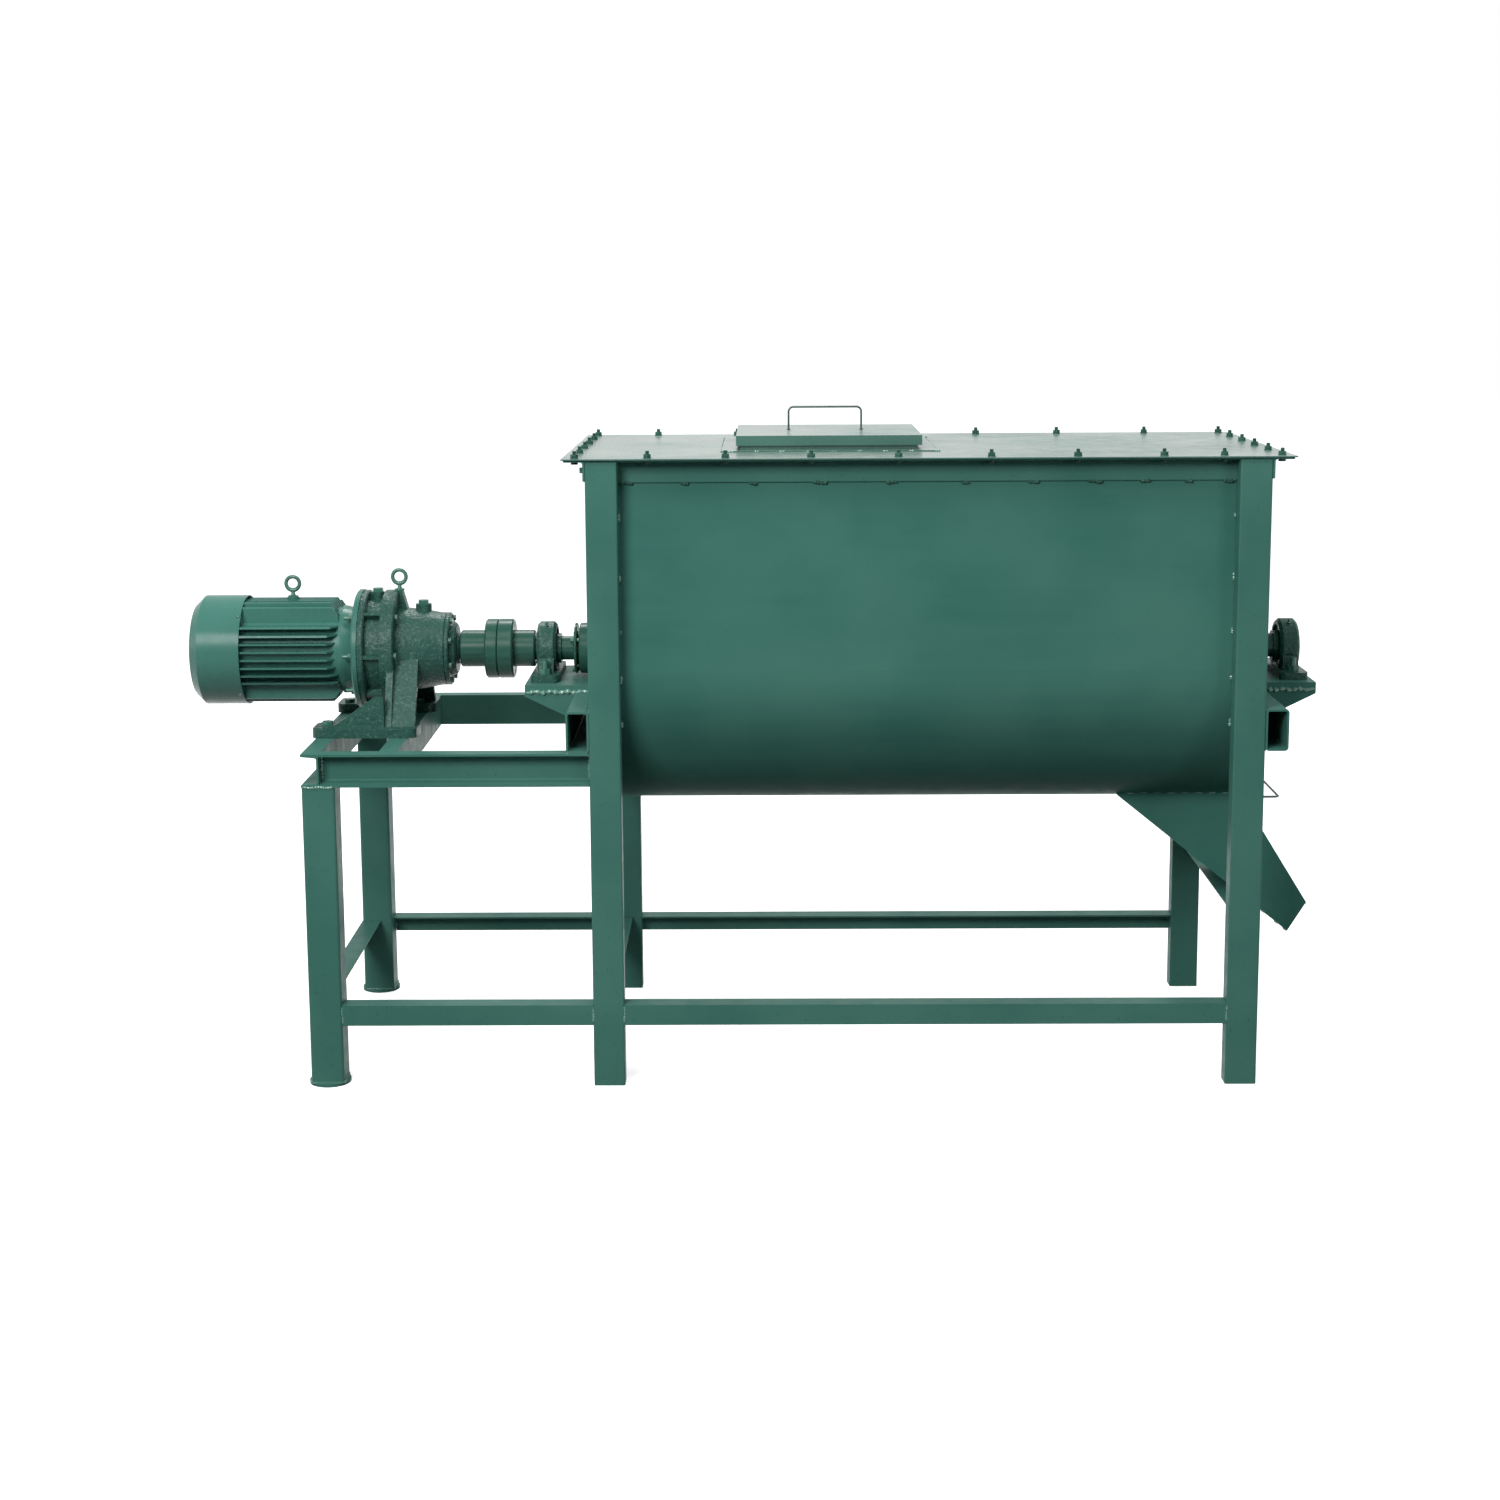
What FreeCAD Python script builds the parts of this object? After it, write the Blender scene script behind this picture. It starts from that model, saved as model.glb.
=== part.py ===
"""Ribbon blender: a U-shaped trough on a welded frame, with a counter-wound double ribbon on one long shaft.

Millimetres, +Z up. The machine is drawn with x = 0 at the outer face of the drive-end plate, y = 0 on the
shaft's vertical mid-plane and z = 0 on the floor. +X runs along the shaft from the motor to the discharge
end. save() then shifts x so that the origin is under the middle of the whole machine's length.
"""

import FreeCAD
import Part
import math
import os

V = FreeCAD.Vector
ALONG_X = V(1, 0, 0)
ALONG_Y = V(0, 1, 0)
ALONG_Z = V(0, 0, 1)

# ---- Trough -------------------------------------------------------------------------------------------
TROUGH_LENGTH = 1600.0  # over the outer faces of the two end plates
TROUGH_RADIUS = 375.0  # outside of the rolled bottom
TROUGH_WALL = 5.0
END_PLATE = 8.0
SHAFT_HEIGHT = 1008.0  # shaft line above the floor
WALL_HEIGHT = 507.0  # trough walls and rim angles above the shaft line

# ---- Welded frame -------------------------------------------------------------------------------------
LEG_WIDTH = 75.0  # corner legs, rectangular tube
LEG_DEPTH = 50.0
LEG_WALL = 4.0
ANGLE_LEG = 50.0  # equal angle iron for the rim and the low rails
ANGLE_WALL = 5.0
RIM_WEB = 57.0  # deeper leg of the unequal angle along the rim's front and back
LOW_RAIL_TOP = 202.0
TUBE_WIDTH = 55.0  # tube across each trough end, under the bearing bracket
TUBE_HEIGHT = 100.0
TUBE_WALL = 5.0
TUBE_CORNER = 9.0

# ---- Drive stand --------------------------------------------------------------------------------------
STAND_REACH = 687.0  # from the drive-end plate to the stand's outer face
STAND_LEG = 80.0  # square tube
STAND_LEG_WALL = 5.0
FOOT_RADIUS = 50.0
FOOT_PLATE = 8.0
CHANNEL_HEIGHT = 80.0
CHANNEL_FLANGE = 43.0
CHANNEL_WEB = 5.0
CHANNEL_LIP = 8.0
REDUCER_CENTRE = 188.0  # reducer's axis above the channels that it stands on
INNER_CHANNEL_X = -462.0  # outer face of the inner cross channel's web

# ---- Shaft, bearings and seals ------------------------------------------------------------------------
SHAFT_RADIUS = 30.0
BEARING_OFFSET = 132.0  # from the end plate to the bearing's centre
BEARING_CENTRE_HEIGHT = 69.8
BEARING_BASE_LENGTH = 241.0
BEARING_BASE_WIDTH = 70.0
BEARING_BASE_THICKNESS = 18.0
BEARING_BODY_RADIUS = 68.2
BEARING_BODY_WIDTH = 48.0
BEARING_BOLT_SPACING = 190.0
BEARING_RING_RADIUS = 37.5  # outside of the inner ring that grips the shaft
BEARING_RING_SHORT = 25.4
BEARING_RING_LONG = 35.0
RUNNING_FIT = 0.05
SHAFT_CLEARANCE = 1.0
BRACKET_REACH = 178.0
BRACKET_HALF = 153.0
BRACKET_PLATE = 18.0
GUSSET = 10.0
GLAND_RADIUS = 64.0
GLAND_LENGTH = 50.0
GLAND_FLANGE = 7.0
GLAND_GAP = 6.0
GLAND_NOSE = 14.0
GLAND_FLOOR = 12.0
GLAND_STUD_DEPTH = 22.0
PACKING_RADIUS = 42.5

# ---- Ribbons ------------------------------------------------------------------------------------------
RIBBON_CLEARANCE = 10.0  # between the outer ribbons and the trough wall
RIBBON_TURNS = 1.5
RIBBON_TAIL = 5.0  # degrees that a ribbon runs on past its first and last arm
RIBBON_END_GAP = 12.0
OUTER_RIBBON_WIDTH = 45.0
INNER_RIBBON_RADIUS = 205.0
INNER_RIBBON_WIDTH = 38.0
RIBBON_THICKNESS = 6.0
ARM_RADIUS = 11.0
ARM_SEAT = 0.6  # depth of the saddle where a ribbon sits on an arm

# ---- Lid and hatch ------------------------------------------------------------------------------------
LID_SHEET = 3.0
LID_OVERHANG_X = 5.0
LID_OVERHANG_Y = 8.0
HATCH_X = 575.0
HATCH_Y = 20.0
COVER_LENGTH = 450.0
COVER_WIDTH = 430.0
COVER_SKIRT = 24.0
COVER_SHEET = 3.0
NECK_GAP = 7.0
NECK_RISE = 34.0
NECK_FLANGE = 45.0
NECK_SHEET = 3.0
HATCH_BAR_RADIUS = 2.5
HATCH_BAR_X = 570.0
HANDLE_SPAN = 182.0
HANDLE_RISE = 57.0
HANDLE_BEND = 12.0
BEND_STEPS = 3
HANDLE_OFFSET = 12.0

# ---- Discharge ----------------------------------------------------------------------------------------
CHUTE_HALF = 130.0  # over the side plates
CHUTE_SHEET = 4.0
CHUTE_START_X = 1296.0
CHUTE_START_DROP = 358.0  # below the shaft line, as the next drops are
FLOOR_SLOPE = math.radians(39.0)
ROOF_SLOPE = math.radians(58.3)
CHUTE_FLOOR_X = 1730.0
CHUTE_MOUTH_X = 1776.0
CHUTE_MOUTH_DROP = 635.0
GATE_SHEET = 4.0
GATE_DROP = 368.0  # to the underside of the sliding gate
GATE_CLEARANCE = 1.0
GATE_START_X = 1323.0
GATE_OVERRUN = 28.0
GATE_HANDLE_REACH = 74.0
GATE_BAR_RADIUS = 3.0
GUIDE_WIDTH = 14.0
GUIDE_SHEET = 5.0

# ---- Coupling -----------------------------------------------------------------------------------------
COUPLING_GAP_X = -256.0
COUPLING_GAP = 1.0
COUPLING_RADIUS = 75.0
COUPLING_HUB = 46.5
DRIVE_FLANGE = 31.0
DRIVE_HUB = 64.0
DRIVEN_FLANGE = 39.0
DRIVEN_HUB = 53.0
PIN_RADIUS = 7.0
PIN_CIRCLE = 60.0
PIN_COUNT = 6
OUTPUT_RADIUS = 27.5
OUTPUT_DEPTH = 85.0  # length of output shaft inside the housing

# ---- Cycloidal reducer --------------------------------------------------------------------------------
REDUCER_FACE_X = -385.0  # where the end cap bolts on
HOUSING_LENGTH = 120.0
HOUSING_RADIUS = 107.0
HOUSING_END_RADIUS = 92.0
RING_FLANGE_RADIUS = 150.0
RING_FLANGE = 17.0
RING_RADIUS = 128.0
RING_LENGTH = 40.0
RING_RIBS = 8
RING_RIB = 9.0
RING_RIB_RADIUS = 146.0
RING_BOLT_CIRCLE = 129.0
RING_PLUG_BOSS = 15.0
INPUT_FLANGE = 16.0
CAP_DEPTH = 25.0
CAP_END_RADIUS = 64.0
CAP_BOLTS = 8
CAP_FLANGE = 10.0
FILLER_BOSS = 20.0
FOOT_LEFT_X = -697.0
FOOT_RIGHT_X = -440.0
FOOT_HALF_WIDTH = 225.0
FOOT_PAD_WIDTH = 100.0
FOOT_PAD = 23.0
FOOT_CORNER = 20.0
FOOT_BOLT_Y = 160.0
FOOT_WALL = 14.0
FOOT_ARCH = 80.0
FOOT_BOLT_RADIUS = 8.0

# ---- Motor --------------------------------------------------------------------------------------------
MOTOR_FLANGE = 14.0
MOTOR_FLANGE_RADIUS = 152.0
SHIELD_LENGTH = 38.0
MOTOR_CORE_RADIUS = 106.0
MOTOR_FIN_RADIUS = 131.0
MOTOR_BODY_LENGTH = 257.0
FIN = 4.5
FIN_PITCH = 20.0
FIN_COUNT = 8
COWL_RADIUS = 138.0
COWL_LENGTH = 128.0
COWL_SHEET = 2.5
COWL_LAP = 15.0
COWL_ROUND = 22.0
COWL_SLOTS = 14
COWL_SLOT = 10.0
COWL_SLOT_START = 34.0
COWL_SLOT_END = 100.0
COWL_LUG = 20.0
MOTOR_EYE_X = -775.0
MOTOR_SHAFT_RADIUS = 14.0
MOTOR_SHAFT_DEPTH = 150.0
TERMINAL_LENGTH = 110.0
TERMINAL_HEIGHT = 95.0
TERMINAL_DEPTH = 55.0
TERMINAL_WALL = 4.0
CABLE_ENTRY_RADIUS = 10.0
FAN_RADIUS = 112.0
FAN_BLADES = 7
FAN_SHEET = 3.0
FAN_HUB_WALL = 10.0
FAN_HUB_GAP = 14.0  # from the cowl's end to the shaft's end
FAN_SLOPE = 12.0
FAN_BACK_GAP = 20.0
EYE_RADIUS = 17.0
EYE_WIRE = 4.0
EYE_SIDES = 8

# ---- Values that follow from the sizes above ----------------------------------------------------------
FRAME_Y = TROUGH_RADIUS + LEG_DEPTH
RIM_HEIGHT = SHAFT_HEIGHT + WALL_HEIGHT
STAND_TOP = SHAFT_HEIGHT - REDUCER_CENTRE
CHUTE_START_Z = SHAFT_HEIGHT - CHUTE_START_DROP
CHUTE_MOUTH_Z = SHAFT_HEIGHT - CHUTE_MOUTH_DROP
GATE_Z = SHAFT_HEIGHT - GATE_DROP
LEG_TOP = RIM_HEIGHT - ANGLE_WALL
BRACKET_TOP = SHAFT_HEIGHT - BEARING_CENTRE_HEIGHT
TUBE_TOP = BRACKET_TOP - BRACKET_PLATE
LID_TOP = RIM_HEIGHT + LID_SHEET
LID_EDGE_X = ANGLE_LEG + LID_OVERHANG_X
NECK_LENGTH = COVER_LENGTH - 2 * (COVER_SHEET + NECK_GAP)
NECK_WIDTH = COVER_WIDTH - 2 * (COVER_SHEET + NECK_GAP)
NECK_TOP = LID_TOP + NECK_RISE
COVER_TOP = NECK_TOP + COVER_SHEET
RIBBON_RADIUS = TROUGH_RADIUS - TROUGH_WALL - RIBBON_CLEARANCE
STAND_LEG_TOP = STAND_TOP - CHANNEL_HEIGHT
GATE_END_X = TROUGH_LENGTH + GATE_OVERRUN
RING_FACE_X = REDUCER_FACE_X - HOUSING_LENGTH - 2 * RING_FLANGE
INPUT_FACE_X = RING_FACE_X - RING_LENGTH
RING_MIDDLE_X = RING_FACE_X - RING_LENGTH / 2
MOTOR_FACE_X = INPUT_FACE_X - INPUT_FLANGE
SHIELD_X = MOTOR_FACE_X - MOTOR_FLANGE
MOTOR_BODY_X = SHIELD_X - SHIELD_LENGTH
COWL_X = MOTOR_BODY_X - MOTOR_BODY_LENGTH + COWL_LAP
MOTOR_END_X = COWL_X - COWL_LENGTH
SHAFT_END_X = TROUGH_LENGTH + BEARING_OFFSET + BEARING_RING_SHORT + 6.0
MIDDLE_X = (MOTOR_END_X + TROUGH_LENGTH + BRACKET_REACH) / 2


# ---- Construction helpers -----------------------------------------------------------------------------
def save(name, *solids):
    """Writes one node, shifted so that the origin is under the middle of the machine."""
    shape = solids[0] if len(solids) == 1 else Part.makeCompound(list(solids))
    shape = shape.copy()
    shape.translate(V(-MIDDLE_X, 0, 0))
    shape.exportStep("parts/" + name + ".step")


def block(xs, ys, zs):
    """Box between pairs of limits."""
    return Part.makeBox(xs[1] - xs[0], ys[1] - ys[0], zs[1] - zs[0], V(xs[0], ys[0], zs[0]))


def rod(start, end, radius):
    """Cylinder between two points."""
    return Part.makeCylinder(radius, (end - start).Length, start, end - start)


def rounded_wire(corners, place, bevel=False):
    """Closed outline through (a, b) or (a, b, radius) corners; place(a, b) puts a corner into space.

    Corners with a radius are rounded, or cut straight across by that radius when bevel is set.
    """
    flat = [V(c[0], c[1], 0) for c in corners]
    radii = [c[2] if len(c) > 2 else 0 for c in corners]
    starts, mids, ends = [], [], []
    for i, point in enumerate(flat):
        back = (flat[i - 1] - point).normalize()
        ahead = (flat[(i + 1) % len(flat)] - point).normalize()
        half = back.getAngle(ahead) / 2
        if radii[i] == 0:
            starts.append(point)
            mids.append(None)
            ends.append(point)
            continue
        run = radii[i] if bevel else radii[i] / math.tan(half)
        centre = point + (back + ahead).normalize() * (radii[i] / math.sin(half))
        starts.append(point + back * run)
        mids.append(centre + (point - centre).normalize() * radii[i])
        ends.append(point + ahead * run)
    edges = []
    for i in range(len(flat)):
        if mids[i] is not None:
            arc = [place(p.x, p.y) for p in (starts[i], mids[i], ends[i])]
            edges.append(Part.makeLine(arc[0], arc[2]) if bevel else Part.Arc(*arc).toShape())
        a, b = ends[i], starts[(i + 1) % len(flat)]
        if (b - a).Length > 1e-6:
            edges.append(Part.makeLine(place(a.x, a.y), place(b.x, b.y)))
    return Part.Wire(edges)


def bar(corners, origin, across, up, run):
    """Outline in the directions across and up from origin, carried along the vector run."""
    wire = rounded_wire(corners, lambda a, b: origin + across * a + up * b)
    return Part.Face(wire).extrude(run)


def side_plate(corners, y_low, y_high):
    """Plate with an (x, z) outline between two y values."""
    return bar(corners, V(0, y_low, 0), ALONG_X, ALONG_Z, V(0, y_high - y_low, 0))


def cross_plate(corners, x_low, x_high):
    """Plate with a (y, z) outline between two x values."""
    return bar(corners, V(x_low, 0, 0), ALONG_Y, ALONG_Z, V(x_high - x_low, 0, 0))


def flat_plate(corners, z_low, z_high):
    """Plate with an (x, y) outline between two heights."""
    return bar(corners, V(0, 0, z_low), ALONG_X, ALONG_Y, V(0, 0, z_high - z_low))


def rectangle(a0, a1, b0, b1, radius=0.0):
    """Four corners, each with the same rounding."""
    return [(a0, b0, radius), (a1, b0, radius), (a1, b1, radius), (a0, b1, radius)]


def turned(outline):
    """Solid of revolution about the shaft line from (x, radius) corners; a third value is a chamfer."""
    wire = rounded_wire(outline, lambda a, b: V(a, 0, SHAFT_HEIGHT + b), True)
    return Part.Face(wire).revolve(V(0, 0, SHAFT_HEIGHT), ALONG_X, 360)


def ring(x0, x1, bore, outside):
    """Plain ring about the shaft line."""
    return turned([(x0, bore), (x1, bore), (x1, outside), (x0, outside)])


def disc(x0, x1, radius):
    """Plain disc about the shaft line."""
    return rod(V(x0, 0, SHAFT_HEIGHT), V(x1, 0, SHAFT_HEIGHT), radius)


def on_circle(radius, degrees, x=0.0):
    """Point about the shaft line; 0 degrees is straight up and 90 is towards the front, -y."""
    a = math.radians(degrees)
    return V(x, -radius * math.sin(a), SHAFT_HEIGHT + radius * math.cos(a))


def hexagon(centre, direction, across_flats, height):
    """Hexagonal prism standing on centre along direction."""
    side = ALONG_Z if abs(direction.z) < 0.5 else ALONG_X
    radius = across_flats / math.sqrt(3)
    points = []
    for i in range(6):
        turn = FreeCAD.Rotation(direction, 60 * i + 30)
        points.append(centre + turn.multVec(side) * radius)
    return Part.Face(Part.makePolygon(points + points[:1])).extrude(direction * height)


def mirrored(shape):
    """The same piece at the other end of the trough."""
    return shape.mirror(V(TROUGH_LENGTH / 2, 0, 0), ALONG_X)


def front_to_back(shape):
    """The same piece on the other side of the shaft's mid-plane."""
    return shape.mirror(V(0, 0, 0), ALONG_Y)


def bent_rod(points, radius, bend):
    """Round bar along straight runs; each bend of that radius is turned in short mitred steps."""
    path = [points[0]]
    for i in range(1, len(points) - 1):
        back = (points[i - 1] - points[i]).normalize()
        ahead = (points[i + 1] - points[i]).normalize()
        half = back.getAngle(ahead) / 2
        centre = points[i] + (back + ahead).normalize() * (bend / math.sin(half))
        first = points[i] + back * (bend / math.tan(half)) - centre
        last = points[i] + ahead * (bend / math.tan(half)) - centre
        sweep = math.degrees(first.getAngle(last))
        for step in range(BEND_STEPS + 1):
            turn = FreeCAD.Rotation(first.cross(last), step * sweep / BEND_STEPS)
            path.append(centre + turn.multVec(first))
    path.append(points[-1])
    section = Part.Wire(Part.makeCircle(radius, path[0], path[1] - path[0]))
    return Part.makePolygon(path).makePipeShell([section], True, False, 1)


ANGLE = [
    (0, 0),
    (ANGLE_LEG, 0),
    (ANGLE_LEG, ANGLE_WALL, ANGLE_WALL * 0.6),
    (ANGLE_WALL, ANGLE_WALL, ANGLE_WALL),
    (ANGLE_WALL, ANGLE_LEG, ANGLE_WALL * 0.6),
    (0, ANGLE_LEG),
]
RIM_ANGLE = [
    (0, 0),
    (ANGLE_LEG, 0),
    (ANGLE_LEG, ANGLE_WALL, ANGLE_WALL * 0.6),
    (ANGLE_WALL, ANGLE_WALL, ANGLE_WALL),
    (ANGLE_WALL, RIM_WEB, ANGLE_WALL * 0.6),
    (0, RIM_WEB),
]
CHANNEL = [
    (0, 0),
    (CHANNEL_FLANGE, 0),
    (CHANNEL_FLANGE, CHANNEL_LIP * 0.7),
    (CHANNEL_WEB, CHANNEL_LIP * 1.15, CHANNEL_LIP * 0.6),
    (CHANNEL_WEB, CHANNEL_HEIGHT - CHANNEL_LIP * 1.15, CHANNEL_LIP * 0.6),
    (CHANNEL_FLANGE, CHANNEL_HEIGHT - CHANNEL_LIP * 0.7),
    (CHANNEL_FLANGE, CHANNEL_HEIGHT),
    (0, CHANNEL_HEIGHT),
]


# ---- Trough -------------------------------------------------------------------------------------------
def trough_form(radius, x0, x1, top):
    """Half-round bottom about the shaft line with straight walls up to top."""
    left, right = V(x0, -radius, SHAFT_HEIGHT), V(x0, radius, SHAFT_HEIGHT)
    low = V(x0, 0, SHAFT_HEIGHT - radius)
    left_top, right_top = V(x0, -radius, top), V(x0, radius, top)
    edges = [
        Part.makeLine(left_top, left),
        Part.Arc(left, low, right).toShape(),
        Part.makeLine(right, right_top),
        Part.makeLine(right_top, left_top),
    ]
    return Part.Face(Part.Wire(edges)).extrude(V(x1 - x0, 0, 0))


def make_trough():
    outside = trough_form(TROUGH_RADIUS, END_PLATE, TROUGH_LENGTH - END_PLATE, RIM_HEIGHT)
    inside = trough_form(TROUGH_RADIUS - TROUGH_WALL, 0, TROUGH_LENGTH, RIM_HEIGHT + 1)
    slot_half = CHUTE_HALF - CHUTE_SHEET - GATE_CLEARANCE
    outlet = block(
        (GATE_START_X - GATE_CLEARANCE, TROUGH_LENGTH),
        (-slot_half, slot_half),
        (SHAFT_HEIGHT - TROUGH_RADIUS - 1, SHAFT_HEIGHT - TROUGH_RADIUS / 2),
    )
    save("trough_shell", outside.cut(inside).cut(outlet))
    plate = trough_form(TROUGH_RADIUS, 0, END_PLATE, RIM_HEIGHT)
    plate = plate.cut(disc(-1, END_PLATE + 1, SHAFT_RADIUS + SHAFT_CLEARANCE))
    save("end_plate_left", plate)
    slot = block(
        (TROUGH_LENGTH - END_PLATE - 1, TROUGH_LENGTH + 1),
        (-slot_half, slot_half),
        (SHAFT_HEIGHT - TROUGH_RADIUS - 1, GATE_Z + GATE_SHEET + GATE_CLEARANCE),
    )
    save("end_plate_right", mirrored(plate).cut(slot))


# ---- Frame under the trough ---------------------------------------------------------------------------
def corner_leg(x0):
    """Rectangular tube leg on the front side, from the floor to the rim angle."""
    outer = flat_plate(rectangle(x0, x0 + LEG_WIDTH, -FRAME_Y, -TROUGH_RADIUS, 4.0), 0, LEG_TOP)
    inner = block(
        (x0 + LEG_WALL, x0 + LEG_WIDTH - LEG_WALL),
        (-FRAME_Y + LEG_WALL, -TROUGH_RADIUS - LEG_WALL),
        (-1, LEG_TOP + 1),
    )
    return outer.cut(inner)


def rim_angle_front():
    """Angle along the trough's top edge: flange over the legs, web down the wall between them."""
    angle = bar(RIM_ANGLE, V(0, -TROUGH_RADIUS, RIM_HEIGHT), -ALONG_Y, -ALONG_Z, V(TROUGH_LENGTH, 0, 0))
    for x0 in (-1, TROUGH_LENGTH - LEG_WIDTH):
        across = (-FRAME_Y - 1, -TROUGH_RADIUS + 1)
        angle = angle.cut(block((x0, x0 + LEG_WIDTH + 1), across, (LEG_TOP - RIM_WEB, LEG_TOP)))
    return angle


def low_rail(x0, x1):
    """Angle rail on the front side, its web flush with the legs' outer faces."""
    return bar(ANGLE, V(x0, -FRAME_Y, LOW_RAIL_TOP), ALONG_Y, -ALONG_Z, V(x1 - x0, 0, 0))


def cross_rail(x, side, top, half):
    """Angle rail along y with its web at x and its flange towards side."""
    return bar(ANGLE, V(x, -half, top), ALONG_X * side, -ALONG_Z, V(0, 2 * half, 0))


def make_frame():
    for side, x0 in (("left", 0), ("right", TROUGH_LENGTH - LEG_WIDTH)):
        leg = corner_leg(x0)
        save("leg_front_" + side, leg)
        save("leg_back_" + side, front_to_back(leg))
    save("rim_angle_front", rim_angle_front())
    save("rim_angle_back", front_to_back(rim_angle_front()))
    end_angle = bar(ANGLE, V(0, -FRAME_Y, RIM_HEIGHT), -ALONG_X, -ALONG_Z, V(0, 2 * FRAME_Y, 0))
    save("rim_angle_left", end_angle)
    save("rim_angle_right", mirrored(end_angle))
    rail = low_rail(LEG_WIDTH, TROUGH_LENGTH - LEG_WIDTH)
    save("trough_rail_front", rail)
    save("trough_rail_back", front_to_back(rail))
    save("cross_rail_left", cross_rail(0, 1, LOW_RAIL_TOP, TROUGH_RADIUS))
    save("cross_rail_right", cross_rail(TROUGH_LENGTH, -1, chute_floor_z(TROUGH_LENGTH), TROUGH_RADIUS))
    outline = rectangle(-TUBE_WIDTH, 0, TUBE_TOP - TUBE_HEIGHT, TUBE_TOP, TUBE_CORNER)
    hollow = rectangle(
        TUBE_WALL - TUBE_WIDTH, -TUBE_WALL, TUBE_TOP - TUBE_HEIGHT + TUBE_WALL, TUBE_TOP - TUBE_WALL, 4.0
    )
    tube = side_plate(outline, -FRAME_Y, FRAME_Y).cut(side_plate(hollow, -FRAME_Y - 1, FRAME_Y + 1))
    save("cross_tube_left", tube)
    save("cross_tube_right", mirrored(tube))


# ---- Stand under the drive ----------------------------------------------------------------------------
def stand_leg():
    """Square tube leg at the stand's front corner on its welded disc foot."""
    x0, x1 = -STAND_REACH, STAND_LEG - STAND_REACH
    y0, y1 = -FRAME_Y, STAND_LEG - FRAME_Y
    wall = STAND_LEG_WALL
    outer = flat_plate(rectangle(x0, x1, y0, y1, 8.0), FOOT_PLATE, STAND_LEG_TOP)
    inner = block((x0 + wall, x1 - wall), (y0 + wall, y1 - wall), (FOOT_PLATE, STAND_LEG_TOP + 1))
    centre = V((x0 + x1) / 2, (y0 + y1) / 2, 0)
    return outer.cut(inner).fuse(rod(centre, centre + V(0, 0, FOOT_PLATE), FOOT_RADIUS))


def make_stand():
    leg = stand_leg()
    save("stand_leg_front", leg)
    save("stand_leg_back", front_to_back(leg))
    rail = low_rail(STAND_LEG - STAND_REACH, 0)
    save("stand_rail_front", rail)
    save("stand_rail_back", front_to_back(rail))
    save("cross_rail_stand", cross_rail(-STAND_REACH, 1, LOW_RAIL_TOP, FRAME_Y - STAND_LEG))
    web_x = CHANNEL_FLANGE - STAND_REACH
    web_y = CHANNEL_FLANGE - FRAME_Y
    front = bar(CHANNEL, V(web_x, web_y, STAND_LEG_TOP), -ALONG_Y, ALONG_Z, V(-web_x, 0, 0))
    save("channel_front", front)
    save("channel_back", front_to_back(front))
    left = bar(CHANNEL, V(web_x, -FRAME_Y, STAND_LEG_TOP), -ALONG_X, ALONG_Z, V(0, 2 * FRAME_Y, 0))
    save("channel_left", left.cut(foot_bolt_holes()))
    inner = bar(CHANNEL, V(INNER_CHANNEL_X, web_y, STAND_LEG_TOP), -ALONG_X, ALONG_Z, V(0, -2 * web_y, 0))
    save("channel_inner", inner.cut(foot_bolt_holes()))


# ---- Shaft supports and seals -------------------------------------------------------------------------
def bearing_bracket():
    """Thick plate on the end tube, with a triangular gusset under its front and back edges."""
    plate = block((-BRACKET_REACH, 0), (-BRACKET_HALF, BRACKET_HALF), (TUBE_TOP, BRACKET_TOP))
    outline = [
        (-BRACKET_REACH, TUBE_TOP),
        (-BRACKET_REACH, TUBE_TOP - 10),
        (-TUBE_WIDTH, TUBE_TOP - 0.7 * TUBE_HEIGHT),
        (-TUBE_WIDTH, TUBE_TOP),
    ]
    for y0 in (-BRACKET_HALF, BRACKET_HALF - GUSSET):
        plate = plate.fuse(side_plate(outline, y0, y0 + GUSSET))
    x = -BEARING_OFFSET
    for y in (-BEARING_BOLT_SPACING / 2, BEARING_BOLT_SPACING / 2):
        plate = plate.cut(rod(V(x, y, TUBE_TOP - 1), V(x, y, BRACKET_TOP + 1), 8.5))
    return plate


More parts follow.
